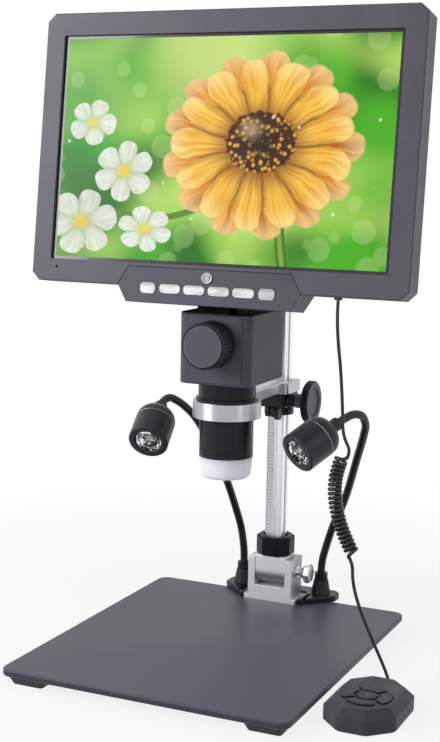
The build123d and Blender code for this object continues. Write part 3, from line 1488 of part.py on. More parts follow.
bevel_start = remote_height - remote_bevel_rise
bevel_angle = math.degrees(math.atan2(remote_bevel_run, remote_bevel_rise))
with BuildPart() as remote_base:
    with BuildSketch():
        add(remote_outline.sketch)
    extrude(amount=remote_split)
    chamfer(remote_base.faces().sort_by(Axis.Z)[0].edges(), 0.8)
    with BuildSketch(Plane.XY.offset(remote_wall)):
        add(remote_room.sketch)
    extrude(amount=remote_split, mode=Mode.SUBTRACT)
    # island that carries the switches under the keys
    with BuildSketch(Plane.XY.offset(remote_wall)):
        with Locations((pad_x, pad_y)):
            Circle(pad_outer_radius - 1.0)
    extrude(amount=remote_height - 2 * remote_wall - pad_rest_gap - pad_lip_thick - pad_proud - 0.3)
    # collar that the cord enters
    with BuildSketch(Plane.XZ.offset(-(remote_y + remote_half_y))):
        with Locations((remote_x, remote_gland_z)):
            Circle(gland_radius)
    extrude(amount=-remote_gland_reach)
    with BuildSketch(Plane.XY.offset(remote_split)):
        Rectangle(8 * remote_half_y, 8 * remote_half_y)
        with Locations((pad_x, pad_y)):
            Circle(pad_outer_radius, mode=Mode.SUBTRACT)
    extrude(amount=remote_height, mode=Mode.SUBTRACT)

with BuildSketch() as petal:
    with Locations((0, 0)):
        Circle(pad_outer_radius)
        Circle(pad_inner_radius, mode=Mode.SUBTRACT)
    petal_run = 2 * pad_outer_radius
    with BuildLine():
        petal_y = petal_run * math.tan(math.radians(pad_key_angle / 2))
        Polyline((0, 0), (petal_run, petal_y), (petal_run, -petal_y), close=True)
    make_face(mode=Mode.INTERSECT)
    fillet(petal.vertices(), 1.1)
with BuildSketch() as petal_mouth:
    add(petal.sketch)
    offset(amount=pad_gap)
with BuildSketch() as petal_lip:
    add(petal.sketch)
    offset(amount=pad_lip)

with BuildPart() as remote_top:
    with BuildSketch(Plane.XY.offset(remote_split)):
        add(remote_outline.sketch)
    extrude(amount=bevel_start - remote_split)
    with BuildSketch(Plane.XY.offset(bevel_start)):
        add(remote_outline.sketch)
    extrude(amount=remote_bevel_rise, taper=bevel_angle)
    with BuildSketch(Plane.XY.offset(remote_split)):
        add(remote_room.sketch)
    extrude(amount=bevel_start - remote_wall / 2 - remote_split, mode=Mode.SUBTRACT)
    with BuildSketch(Plane.XY.offset(bevel_start - remote_wall / 2)):
        add(remote_room.sketch)
    extrude(amount=remote_bevel_rise - remote_wall / 2, taper=bevel_angle, mode=Mode.SUBTRACT)
    with BuildSketch(Plane.XY.offset(remote_height)):
        with Locations((pad_x, pad_y)):
            Circle(pad_centre_radius + pad_gap)
            with PolarLocations(0, 4):
                add(petal_mouth.sketch)
    extrude(amount=-2 * remote_wall, mode=Mode.SUBTRACT)

pad_lip_top = -(remote_wall + pad_rest_gap)
with BuildPart() as petal_key:
    with BuildSketch(Plane.XY.offset(pad_lip_top - pad_lip_thick)):
        add(petal_lip.sketch)
    extrude(amount=pad_lip_thick)
    with BuildSketch(Plane.XY.offset(pad_lip_top)):
        add(petal.sketch)
    extrude(amount=pad_proud - pad_lip_top)
    fillet(petal_key.faces().sort_by(Axis.Z)[-1].edges(), 0.4)

with BuildPart() as remote_key_centre:
    with BuildSketch(Plane.XY.offset(remote_height + pad_lip_top - pad_lip_thick)):
        with Locations((pad_x, pad_y)):
            Circle(pad_centre_radius + pad_lip)
    extrude(amount=pad_lip_thick)
    with BuildSketch(Plane.XY.offset(remote_height + pad_lip_top)):
        with Locations((pad_x, pad_y)):
            Circle(pad_centre_radius)
    extrude(amount=pad_proud - pad_lip_top)
    fillet(remote_key_centre.faces().sort_by(Axis.Z)[-1].edges(), 0.4)
pad_place = Location((pad_x, pad_y, remote_height))
with BuildPart() as remote_key_right:
    with Locations(pad_place):
        add(petal_key.part)
with BuildPart() as remote_key_up:
    with Locations(pad_place * Rotation(0, 0, 90)):
        add(petal_key.part)
with BuildPart() as remote_key_left:
    with Locations(pad_place * Rotation(0, 0, 180)):
        add(petal_key.part)
with BuildPart() as remote_key_down:
    with Locations(pad_place * Rotation(0, 0, 270)):
        add(petal_key.part)

# ================================================================= cord of the remote
# tubes along the plain stretches, one closed solid of the outer shape for the coil
cord_exit = gland_plane.from_local_coords((0, 0, gland_reach))
cord_lead = gland_plane.from_local_coords((0, 0, gland_reach + 9.0))
cord_break = Vector(cord_break_x, cord_break_y, cord_break_z)
upper_points = [
    tuple(cord_exit),
    tuple(cord_lead),
    (79.7, -11.3, 205.5),
    (81.9, -10.7, 188.6),
    tuple(cord_break),
]
coil_points = [
    (84.5, -10.0, 138.9),
    (80.6, -10.0, 128.5),
    (79.9, -10.4, 115.5),
    (82.5, -10.9, 102.5),
    (87.5, -11.5, 90.5),
    (94.0, -12.0, 79.5),
]
coil_in = (Vector(*coil_points[0]) - Vector(*coil_points[1])).normalized()
coil_out = (Vector(*coil_points[-1]) - Vector(*coil_points[-2])).normalized()
coil_edge = coil_radius - 1.4 * cord_radius
entry = Vector(*coil_points[0]) + Vector(0, 1, 0).cross(coil_in).normalized() * coil_edge
leave = Vector(*coil_points[-1]) + Vector(0, 1, 0).cross(coil_out).normalized() * coil_edge
break_run = (cord_break - Vector(*upper_points[-2])).normalized()
middle_points = [
    tuple(cord_break),
    tuple(cord_break + break_run * 8.5),
    (83.7, -9.9, 154.6),
    (85.3, -10.0, 148.2),
    tuple(entry + coil_in * 4.4),
    tuple(entry),
]
plug_y = remote_y + remote_half_y + remote_gland_reach
lower_points = [
    tuple(leave),
    tuple(leave + coil_out * 4.2),
    (93.6, -12.0, 65.0),
    (96.0, -11.4, 54.5),
    (99.8, -10.8, 44.3),
    (remote_x - 14.6, -10.0, 34.2),
    (remote_x - 10.1, -9.0, 24.8),
    (remote_x - 5.8, -8.2, 15.6),
    (remote_x - 2.2, -8.4, 8.0),
    (remote_x, plug_y + 4.6, remote_gland_z),
    (remote_x, plug_y, remote_gland_z),
]
with BuildPart() as cord_upper:
    with BuildLine() as upper_line:
        FilletPolyline(*upper_points, radius=path_radii(upper_points))
    with BuildSketch(Plane(origin=upper_line.line @ 0, z_dir=upper_line.line % 0)):
        Circle(cord_radius)
    sweep()
with BuildPart() as cord_middle:
    with BuildLine() as middle_line:
        FilletPolyline(*middle_points, radius=path_radii(middle_points))
    with BuildSketch(Plane(origin=middle_line.line @ 0, z_dir=middle_line.line % 0)):
        Circle(cord_radius)
    sweep()
with BuildPart() as cord_coil:
    with BuildLine() as coil_line:
        FilletPolyline(*coil_points, radius=path_radii(coil_points))
    with BuildSketch(Plane(origin=coil_line.line @ 0, z_dir=coil_line.line % 0)):
        Circle(coil_radius)
    sweep()
with BuildPart() as cord_lower:
    with BuildLine() as lower_line:
        FilletPolyline(*lower_points, radius=path_radii(lower_points))
    with BuildSketch(Plane(origin=lower_line.line @ 0, z_dir=lower_line.line % 0)):
        Circle(cord_radius)
    sweep()
for cord_name, cord_points in (
    ("upper", upper_points), ("middle", middle_points), ("coil", coil_points), ("lower", lower_points)
):
    print("cord", cord_name, "radii", [round(r, 1) for r in path_radii(cord_points)])

# ================================================================= files
base_plate.part.label = "base_plate"
export_step(base_plate.part, "parts/base_plate.step")
base_feet.part.label = "base_feet"
export_step(base_feet.part, "parts/base_feet.step")
base_screws.part.label = "base_screws"
export_step(base_screws.part, "parts/base_screws.step")
yoke_bracket.part.label = "yoke_bracket"
export_step(yoke_bracket.part, "parts/yoke_bracket.step")
lamp_mount.part.label = "lamp_mount"
export_step(lamp_mount.part, "parts/lamp_mount.step")
gooseneck_left.part.label = "gooseneck_left"
export_step(gooseneck_left.part, "parts/gooseneck_left.step")
gooseneck_right.part.label = "gooseneck_right"
export_step(gooseneck_right.part, "parts/gooseneck_right.step")
lamp_left_shell.part.label = "lamp_left_shell"
export_step(lamp_left_shell.part, "parts/lamp_left_shell.step")
lamp_left_led.part.label = "lamp_left_led"
export_step(lamp_left_led.part, "parts/lamp_left_led.step")
lamp_left_lens.part.label = "lamp_left_lens"
export_step(lamp_left_lens.part, "parts/lamp_left_lens.step")
lamp_right_shell.part.label = "lamp_right_shell"
export_step(lamp_right_shell.part, "parts/lamp_right_shell.step")
lamp_right_led.part.label = "lamp_right_led"
export_step(lamp_right_led.part, "parts/lamp_right_led.step")
lamp_right_lens.part.label = "lamp_right_lens"
export_step(lamp_right_lens.part, "parts/lamp_right_lens.step")
pivot_block.part.label = "pivot_block"
export_step(pivot_block.part, "parts/pivot_block.step")
clamp_screw.part.label = "clamp_screw"
export_step(clamp_screw.part, "parts/clamp_screw.step")
column_nut.part.label = "column_nut"
export_step(column_nut.part, "parts/column_nut.step")
column.part.label = "column"
export_step(column.part, "parts/column.step")
column_rack.part.label = "column_rack"
export_step(column_rack.part, "parts/column_rack.step")
carriage.part.label = "carriage"
export_step(carriage.part, "parts/carriage.step")
pinion_housing.part.label = "pinion_housing"
export_step(pinion_housing.part, "parts/pinion_housing.step")
pinion_shaft.part.label = "pinion_shaft"
export_step(pinion_shaft.part, "parts/pinion_shaft.step")
height_knob.part.label = "height_knob"
export_step(height_knob.part, "parts/height_knob.step")
limit_collar.part.label = "limit_collar"
export_step(limit_collar.part, "parts/limit_collar.step")
collar_screw.part.label = "collar_screw"
export_step(collar_screw.part, "parts/collar_screw.step")
camera_body.part.label = "camera_body"
export_step(camera_body.part, "parts/camera_body.step")
camera_front.part.label = "camera_front"
export_step(camera_front.part, "parts/camera_front.step")
tube_upper.part.label = "tube_upper"
export_step(tube_upper.part, "parts/tube_upper.step")
tube_lower.part.label = "tube_lower"
export_step(tube_lower.part, "parts/tube_lower.step")
diffuser_cap.part.label = "diffuser_cap"
export_step(diffuser_cap.part, "parts/diffuser_cap.step")
led_ring.part.label = "led_ring"
export_step(led_ring.part, "parts/led_ring.step")
lens_carrier.part.label = "lens_carrier"
export_step(lens_carrier.part, "parts/lens_carrier.step")
lens_glass.part.label = "lens_glass"
export_step(lens_glass.part, "parts/lens_glass.step")
sensor_board.part.label = "sensor_board"
export_step(sensor_board.part, "parts/sensor_board.step")
focus_knob.part.label = "focus_knob"
export_step(focus_knob.part, "parts/focus_knob.step")
focus_shaft.part.label = "focus_shaft"
export_step(focus_shaft.part, "parts/focus_shaft.step")
monitor_bezel.part.label = "monitor_bezel"
export_step(monitor_bezel.part, "parts/monitor_bezel.step")
monitor_rear.part.label = "monitor_rear"
export_step(monitor_rear.part, "parts/monitor_rear.step")
lcd_panel.part.label = "lcd_panel"
export_step(lcd_panel.part, "parts/lcd_panel.step")
main_board.part.label = "main_board"
export_step(main_board.part, "parts/main_board.step")
monitor_screws.part.label = "monitor_screws"
export_step(monitor_screws.part, "parts/monitor_screws.step")
hinge_pin.part.label = "hinge_pin"
export_step(hinge_pin.part, "parts/hinge_pin.step")
button_panel.part.label = "button_panel"
export_step(button_panel.part, "parts/button_panel.step")
button_1.part.label = "button_1"
export_step(button_1.part, "parts/button_1.step")
button_2.part.label = "button_2"
export_step(button_2.part, "parts/button_2.step")
button_3.part.label = "button_3"
export_step(button_3.part, "parts/button_3.step")
button_4.part.label = "button_4"
export_step(button_4.part, "parts/button_4.step")
button_5.part.label = "button_5"
export_step(button_5.part, "parts/button_5.step")
button_6.part.label = "button_6"
export_step(button_6.part, "parts/button_6.step")
power_button.part.label = "power_button"
export_step(power_button.part, "parts/power_button.step")
remote_base.part.label = "remote_base"
export_step(remote_base.part, "parts/remote_base.step")
remote_top.part.label = "remote_top"
export_step(remote_top.part, "parts/remote_top.step")
remote_key_centre.part.label = "remote_key_centre"
export_step(remote_key_centre.part, "parts/remote_key_centre.step")
remote_key_up.part.label = "remote_key_up"
export_step(remote_key_up.part, "parts/remote_key_up.step")
remote_key_down.part.label = "remote_key_down"
export_step(remote_key_down.part, "parts/remote_key_down.step")
remote_key_left.part.label = "remote_key_left"
export_step(remote_key_left.part, "parts/remote_key_left.step")
remote_key_right.part.label = "remote_key_right"
export_step(remote_key_right.part, "parts/remote_key_right.step")
cord_upper.part.label = "cord_upper"
export_step(cord_upper.part, "parts/cord_upper.step")
cord_middle.part.label = "cord_middle"
export_step(cord_middle.part, "parts/cord_middle.step")
cord_coil.part.label = "cord_coil"
export_step(cord_coil.part, "parts/cord_coil.step")
cord_lower.part.label = "cord_lower"
export_step(cord_lower.part, "parts/cord_lower.step")
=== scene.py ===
"""Finishes, small pieces, cord and studio of a digital microscope with a screen, laid out as an add-on."""

import math

import bmesh
import bpy
from bpy.props import FloatProperty, FloatVectorProperty, IntProperty, PointerProperty
from mathutils import Matrix, Vector


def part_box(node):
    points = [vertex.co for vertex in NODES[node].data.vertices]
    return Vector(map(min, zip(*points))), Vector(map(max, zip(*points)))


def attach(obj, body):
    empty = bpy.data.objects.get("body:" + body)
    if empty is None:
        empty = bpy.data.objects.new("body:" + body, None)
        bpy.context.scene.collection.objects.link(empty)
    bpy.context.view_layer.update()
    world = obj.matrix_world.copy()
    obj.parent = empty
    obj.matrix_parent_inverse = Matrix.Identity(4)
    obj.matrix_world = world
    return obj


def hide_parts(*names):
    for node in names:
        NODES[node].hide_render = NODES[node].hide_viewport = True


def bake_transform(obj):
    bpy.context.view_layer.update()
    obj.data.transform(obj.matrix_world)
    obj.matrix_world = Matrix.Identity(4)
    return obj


bl_info = {
    "name": "Digital Microscope",
    "version": (1, 0, 0),
    "blender": (4, 5, 0),
    "location": "View3D > Sidebar > Microscope",
    "description": "Dresses the packed microscope: finishes, screen picture, lamps, cord, studio",
    "category": "Object",
}

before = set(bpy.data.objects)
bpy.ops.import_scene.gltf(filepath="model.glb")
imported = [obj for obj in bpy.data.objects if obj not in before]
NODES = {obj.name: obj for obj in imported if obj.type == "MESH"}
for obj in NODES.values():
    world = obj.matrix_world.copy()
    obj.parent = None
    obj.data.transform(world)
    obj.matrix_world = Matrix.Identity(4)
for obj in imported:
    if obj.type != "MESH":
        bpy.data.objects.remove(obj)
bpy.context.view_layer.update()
MM = 0.001
TO_MM = 1000.0

# the monitor: its lean backwards, then in millimetres its hinge, the screen's middle up from that and
# out from it, the lit picture, how far the display lies behind the bezel's front and the button panel
# before it
SCREEN_LEAN = math.radians(6.7)
HINGE = Vector((0.0, -6.5, 225.5))
SCREEN_RISE = 89.2
HINGE_INSET = 13.9
LIT_WIDTH = 217.0
LIT_HEIGHT = 135.6
PICTURE_THICKNESS = 0.1
DISPLAY_SINK = 2.0
PANEL_PROUD = 0.9

# the lamp heads: lens end and the way that each shines, then places along a head from its rear, radii of its
# bore, mouth and seam band, the gap under the mirror's seat, and the size of a patch of painted reflection,
# light or dark, in the mirror
LAMP_ENDS = {"left": Vector((-54.9, 10.0, 129.3)), "right": Vector((47.0, 12.0, 131.7))}
LAMP_AIMS = {"left": Vector((0.17, -0.83, -0.53)), "right": Vector((-0.44, -0.78, -0.45))}
LAMP_LENGTH = 28.5
LAMP_BASE_TOP = 13.7
LAMP_LENS_SEAT = 24.1
LAMP_RIM = 27.4
LAMP_SHOULDER = 21.1
LAMP_SEAM = 10.1
LAMP_SEAM_HALF = 0.22
LAMP_CAVITY = 7.4
LAMP_MOUTH = 8.3
LAMP_BAND = (12.7, 13.06)
SEAT_GAP = 0.05
FACET_PATCH = 2.3

# the height of the camera box's top, which little light reaches under the monitor and which is painted black
# as shade, and where that painted shade fades along Y
CAMERA_BOX_TOP = (217.5, 16.0, 42.0)

# how deep the rack's valleys are, and the heights between which painted shade of the tube's end darkens the
# diffuser cap
RACK_TOOTH_DEPTH = 1.1
CAP_SHADE = (120.5, 126.2)

# painted shade on metal that little light reaches, and on the pivot block's curved underside a painted dark
# reflection of the plate as well: axis, the two places on it in millimetres between which it changes, and how
# dark the metal is at each; the bracket's is counted from its front
SADDLE_SHADE = (2, 27.0, 33.0, 0.85, 0.0)
BRACKET_SHADE = (1, 1.0, 11.0, 0.0, 0.6)

# the remote's pad of keys: its middle, how far out the outer keys' marks lie, and how tall and how sunk
# the marks are
PAD = Vector((118.9, -55.0, 13.8))
PAD_MIDDLE = 10.95
MARK_HEIGHT = 0.08
MARK_SINK = 0.02

# the curly part: how far its cord leads in at each end, how much narrower it is there, and how fast each
# of those dies away from turn to turn
CURL_LEAD = 2.2
CURL_LEAD_EASE = 5.0
CURL_END_TUCK = 0.4
CURL_TUCK_EASE = 4.0

# the cord's route in millimetres, from the monitor's lower wall down to the remote
CORD_FROM_MONITOR = [
    (78.4, -9.708, 229.904),
    (78.4, -10.758, 220.966),
    (79.7, -11.3, 205.5),
    (81.9, -10.7, 188.6),
    (82.9, -10.0, 171.6),
]
CORD_TO_COIL = [
    (82.9, -10.0, 171.6),
    (83.399, -9.651, 163.122),
    (83.7, -9.9, 154.6),
    (85.3, -10.0, 148.2),
    (88.948, -10.0, 141.931),
    (87.403, -10.0, 137.811),
]
COIL_AXIS = [
    (84.5, -10.0, 138.9),
    (80.6, -10.0, 128.5),
    (79.9, -10.4, 115.5),
    (82.5, -10.9, 102.5),
    (87.5, -11.5, 90.5),
    (94.0, -12.0, 79.5),
]
CORD_DROP = [
    (91.331, -12.0, 77.923),
    (93.466, -12.164, 74.31),
    (93.6, -12.0, 65.0),
    (96.0, -11.4, 54.5),
    (99.8, -10.8, 44.3),
    (104.3, -9.9, 34.2),
]
CORD_TO_REMOTE = [
    (104.3, -9.9, 34.2),
    (108.4, -9.0, 24.8),
    (112.7, -8.2, 15.6),
    (116.3, -8.4, 8.0),
    (118.5, -11.4, 3.2),
    (118.5, -16.0, 3.2),
]

# the studio: the camera's lens and shift, then in metres the points that it and the soft lamps look at,
# the lamps' places, and half of the floor's width
CAMERA_LENS = 67.046
CAMERA_SHIFT = (-0.01463, -0.02177)
CAMERA_TARGET = Vector((0.00652, 0.0, 0.19149))
LAMP_TARGET = Vector((0.0, 0.0, 0.2))
KEY_LAMP_PLACE = Vector((-0.80, -0.80, 0.62))
SIDE_LAMP_PLACE = Vector((1.15, -0.36, 0.55))
FLOOR_HALF = 4.0


# ------------------------------------------------------------------ values a user would change


def colour(name, description, *tone):
    """A colour in the panel."""
    limits = {"min": 0, "max": 1, "size": 3, "subtype": "COLOR"}
    return FloatVectorProperty(name=name, description=description, default=tone, **limits)


def number(name, description, default, unit="NONE"):
    """A size or a strength in the panel."""
    return FloatProperty(name=name, description=description, default=default, min=0, unit=unit)


def turn(name, description, degrees):
    """An angle in the panel."""
    start = math.radians(degrees)
    return FloatProperty(name=name, description=description, default=start, subtype="ANGLE")


class MicroscopeColours(bpy.types.PropertyGroup):
    plate: colour("Plate", "Powder coat of the base plate", 0.082, 0.080, 0.112)
    case: colour("Case", "Moulded case of the monitor and camera", 0.095, 0.092, 0.116)
    black: colour("Black", "Black plastic of knobs, lamps and mount", 0.011, 0.0105, 0.013)
    silver: colour("Silver", "Anodised metal of column, ring and yoke", 0.62, 0.62, 0.65)
    chrome: colour("Chrome", "Polished screws and reflectors", 0.82, 0.83, 0.85)
    cap: colour("Cap", "Frosted diffuser cap", 0.84, 0.82, 0.92)
    key: colour("Key", "Translucent keys under the screen", 0.80, 0.80, 0.80)
    remote: colour("Remote", "Moulded case of the remote", 0.045, 0.043, 0.054)


class MicroscopeCord(bpy.types.PropertyGroup):
    diameter: number("Diameter", "Outer diameter of the cord", 0.002, "LENGTH")
    curly_diameter: number("Curly diameter", "Outer diameter of the curly part's cord", 0.0023, "LENGTH")
    coil_radius: number("Coil radius", "From the coil's axis to the middle of its cord", 0.00335, "LENGTH")
    coil_pitch: number("Coil pitch", "Rise of the curly part at each turn", 0.00262, "LENGTH")
    turn_points: IntProperty(
        name="Points per turn",
        description="Control points of each turn of the curly part",
        default=16,
        min=12,
    )


class MicroscopeStudio(bpy.types.PropertyGroup):
    azimuth: turn("Azimuth", "Camera's turn about the stand", 24.0)
    elevation: turn("Elevation", "Camera's height angle", 7.56)
    roll: turn("Roll", "Camera's roll about its view", 1.2)
    distance: number("Distance", "Camera to the point that it looks at", 0.84609, "LENGTH")
    sky: number("Sky", "Strength of the light from all around", 0.36)
    key_light: number("Key light", "Power of the large soft lamp", 9.5, "POWER")
    fill_light: number("Fill light", "Power of the side lamp", 1.2, "POWER")


# ------------------------------------------------------------------ shader maths


class Val:
    """A shader socket that Python arithmetic works on; each operation adds a Math node."""

    def __init__(self, finish, socket):
        self.finish = finish
        self.socket = socket

    def maths(self, operation, *others):
        """Adds a Math node that works on this value and the others."""
        sockets = dict(enumerate((self, *others)))
        return self.finish.node("ShaderNodeMath", {"operation": operation}, sockets)

    def __add__(self, other):
        return self.maths("ADD", other)

    def __sub__(self, other):
        return self.maths("SUBTRACT", other)

    def __rsub__(self, other):
        return self.finish.node("ShaderNodeMath", {"operation": "SUBTRACT"}, {0: other, 1: self})

    def __mul__(self, other):
        return self.maths("MULTIPLY", other)

    def __truediv__(self, other):
        return self.maths("DIVIDE", other)

    def __pow__(self, other):
        return self.maths("POWER", other)

    __radd__ = __add__
    __rmul__ = __mul__

    def ramp(self, low, high, start=0.0, end=1.0):
        """Goes smoothly from start to end as the value goes from low to high."""
        return self.finish.node(
            "ShaderNodeMapRange",
            {"interpolation_type": "SMOOTHSTEP"},
            {"Value": self, "From Min": low, "From Max": high, "To Min": start, "To Max": end},
            "Result",
        )


def rgba(value):
    """A colour with its fourth number, or a socket as it is."""
    return value if isinstance(value, Val) or len(value) == 4 else (*value, 1.0)


def shade(tone, factor):
    """A colour made darker or paler."""
    return tuple(min(1.0, c * factor) for c in tone)


def distance(across, up):
    """How far a place is from the middle, from its two offsets."""
    return (across * across + up * up) ** 0.5


class Nodes:
    """The nodes of a material or a world in the making."""

    def __init__(self, owner, output):
        owner.use_nodes = True
        self.tree = owner.node_tree
        self.tree.nodes.clear()
        self.out = self.tree.nodes.new(output)

    def node(self, kind, settings=None, sockets=None, result=0):
        """Adds a node: first its settings, then the values or links of its sockets."""
        made = self.tree.nodes.new(kind)
        for key, value in (settings or {}).items():
            setattr(made, key, value)
        for key, value in (sockets or {}).items():
            if isinstance(value, Val):
                self.tree.links.new(value.socket, made.inputs[key])
            elif value is not None:
                made.inputs[key].default_value = value
        return Val(self, made.outputs[result])

    def end(self, shader):
        """Makes a shader the surface."""
        self.tree.links.new(shader.socket, self.out.inputs["Surface"])

    def seen(self):
        """1 for what the camera sees, straight or in metal and glass, and 0 for the light on the object."""
        path = self.node("ShaderNodeLightPath").socket.node.outputs
        rays = ("Is Camera Ray", "Is Glossy Ray", "Is Transmission Ray")
        straight, mirrored, through = (Val(self, path[ray]) for ray in rays)
        return straight.maths("MAXIMUM", mirrored.maths("MAXIMUM", through))


class Finish(Nodes):
    """A material in the making."""

    def __init__(self, name):
        self.material = bpy.data.materials.new(name)
        super().__init__(self.material, "ShaderNodeOutputMaterial")
        self.place = self.node("ShaderNodeTexCoord", result="Object")

    def parts(self, vector=None):
        """The three numbers of a vector."""
        first = self.node("ShaderNodeSeparateXYZ", {}, {0: vector or self.place})
        return [Val(self, first.socket.node.outputs[i]) for i in range(3)]

    def joined(self, x, y, z=0.0):
        """A vector from its three numbers."""
        return self.node("ShaderNodeCombineXYZ", {}, {0: x, 1: y, 2: z})

    def scaled(self, scale):
        """The place on the piece, stretched along its axes."""
        return self.node("ShaderNodeVectorMath", {"operation": "MULTIPLY"}, {0: self.place, 1: scale})

    def noise(self, scale, detail, vector=None):
        """Clouds or grain; scale is how many fit in a metre."""
        sockets = {"Vector": vector or self.place, "Scale": scale, "Detail": detail}
        return self.node("ShaderNodeTexNoise", {}, sockets)

    def cells(self, scale, vector=None, result="Distance"):
        """Scattered cells: how far each place is from its cell's middle, or the cell's colour."""
        sockets = {"Vector": vector or self.place, "Scale": scale}
        return self.node("ShaderNodeTexVoronoi", {}, sockets, result)

    def mix(self, factor, low, high):
        """A colour between two colours."""
        sockets = {0: factor, 6: rgba(low), 7: rgba(high)}
        return self.node("ShaderNodeMix", {"data_type": "RGBA"}, sockets, 2)

    def bump(self, height, depth, normal=None, strength=1.0):
        """A normal for a relief that is depth mm deep."""
        sockets = {"Height": height, "Distance": depth * MM, "Strength": strength, "Normal": normal}
        return self.node("ShaderNodeBump", {}, sockets)

    def soft_edges(self, radius):
        """A normal that rounds the edges off, for the light that they catch."""
        return self.node("ShaderNodeBevel", {"samples": 6}, {"Radius": radius * MM})

    def surface(self, painted_shade=None, **sockets):
        """Ends the material in one Principled shader; _ stands for a space in a socket's name.

        Where its first value is 1, the surface is painted black and without gloss, as painted shade."""
        named = {key.replace("_", " "): value for key, value in sockets.items()}
        for key in ("Base Color", "Emission Color"):
            if key in named:
                named[key] = rgba(named[key])
        shader = self.node("ShaderNodeBsdfPrincipled", {}, named)
        # painted shade: a black matt shader mixed in where the first value is 1
        if painted_shade:
            painted_shade_matt = {"Base Color": (0.008, 0.008, 0.009, 1.0), "Roughness": 0.95, "Specular IOR Level": 0.0}
            matt = self.node("ShaderNodeBsdfPrincipled", {}, painted_shade_matt)
            shader = self.node("ShaderNodeMixShader", {}, {0: painted_shade, 1: shader, 2: matt})
        self.end(shader)
        return self.material


# ------------------------------------------------------------------ finishes


def moulded_plastic(name, tone, grain, depth, rough, edge=0.25, gloss=0.3, painted_top_shade=None):
    """Spark-eroded plastic: fine even grain, faint cloudiness, softened edges.

    The last argument holds the height of a top painted black and without gloss as shade, and the two places
    along Y between which that painted shade fades, all in mm."""
    f = Finish(name)
    fine = f.noise(1 / (grain * MM), 3.0)
    cloud = f.noise(28.0, 3.0)
    base = f.mix(cloud.ramp(0.3, 0.7), shade(tone, 0.93), shade(tone, 1.07))
    base = f.mix(fine.ramp(0.5, 0.75, 0.0, 0.3), base, shade(tone, 1.4))
    roughness = cloud.ramp(0.25, 0.75, rough - 0.05, rough + 0.06)
    normal = f.bump(fine, depth, f.soft_edges(edge))
    painted_shade = None
    # painted shade on a top that little light reaches, fading along Y
    if painted_top_shade:
        top, front, back = (place * MM for place in painted_top_shade)
        y, z = f.parts()[1:]
        painted_shade = z.ramp(top - 1.0 * MM, top - 0.1 * MM) * y.ramp(front, back, 0.97, 0.3)
    return f.surface(
        painted_shade,
        Base_Color=base,
        Roughness=roughness,
        Normal=normal,
        IOR=1.47,
        Specular_IOR_Level=gloss,
    )


def powder_coat(name, tone, top):
    """Baked powder paint on sheet metal: fine orange peel, a sprinkle of paler grains, and painted shade on
    its sides below its top, which is a height in mm."""
    f = Finish(name)
    peel = f.noise(900.0, 2.0)
    grain = f.cells(1700.0)
    cloud = f.noise(7.0, 3.0)
    base = f.mix(cloud.ramp(0.3, 0.72), shade(tone, 0.94), shade(tone, 1.07))
    base = f.mix(grain.ramp(0.1, 0.3, 0.28, 0.0), base, shade(tone, 1.9))
    # painted shade on the plate's sides, darker below its top
    below = f.parts()[2].ramp((top - 1.6) * MM, (top - 0.5) * MM, 0.85, 0.0)
    base = f.mix(below, base, shade(tone, 0.4))
    normal = f.bump(peel * 0.7 + grain * 0.3, 0.018, f.soft_edges(0.5))
    return f.surface(
        Base_Color=base,
        Roughness=cloud.ramp(0.3, 0.7, 0.38, 0.47),
        Normal=normal,
        IOR=1.5,
        Specular_IOR_Level=0.3,
    )


def soft_rubber(name, tone, rough=0.5, gloss=0.0, top=None):
    """Black rubber or vinyl with a dusty bloom in patches.

    Where top is given, a height in mm, the sides below it are painted black as shade."""
    f = Finish(name)
    cloud = f.noise(120.0, 4.0)
    grain = f.noise(2400.0, 2.0)
    base = f.mix(cloud.ramp(0.35, 0.75), tone, shade(tone, 1.5))
    if top:
        # painted shade: the sides below the top are black
        below = f.parts()[2].ramp((top - 0.25) * MM, (top - 0.1) * MM, 0.97, 0.0)
        base = f.mix(below, base, (0.0, 0.0, 0.0))
    roughness = cloud.ramp(0.3, 0.7, rough - 0.06, rough + 0.07)
    normal = f.bump(grain, 0.01, f.soft_edges(0.3))
    return f.surface(
        Base_Color=base,
        Roughness=roughness,
        Normal=normal,
        Specular_IOR_Level=0.25,
        Coat_Weight=gloss,
        Coat_Roughness=0.25,
    )


def satin_metal(name, tone, rough, along, streak, edge, metal=1.0, drawn=0.0, painted_band_shade=None):
    """Anodised or brushed metal.

    along is small on the axis that its streaks follow, metal is low for a cloudy skin, and drawn is how far
    its lights are drawn out upwards. The last argument is a band of painted shade such as SADDLE_SHADE."""
    f = Finish(name)
    streaks = f.noise(1.0, 3.0, f.scaled(tuple(4200.0 * a for a in along)))
    cloud = f.noise(45.0, 3.0)
    base = f.mix(streaks.ramp(0.25, 0.8), shade(tone, 1 - 0.16 * streak), shade(tone, 1 + 0.1 * streak))
    base = f.mix(cloud.ramp(0.3, 0.75, 0.0, 0.2), base, shade(tone, 0.88))
    # a band of painted shade, darker where little light reaches
    if painted_band_shade:
        axis, low, high, at_low, at_high = painted_band_shade
        base = f.mix(f.parts()[axis].ramp(low * MM, high * MM, at_low, at_high), base, shade(tone, 0.2))
    roughness = streaks.ramp(0.2, 0.8, rough - 0.08 * streak, rough + 0.18 * streak)
    normal = f.bump(streaks, 0.004 * streak, f.soft_edges(edge))
    return f.surface(
        Base_Color=base,
        Metallic=metal,
        Roughness=roughness,
        Normal=normal,
        Anisotropic=drawn,
        Anisotropic_Rotation=0.25,
    )


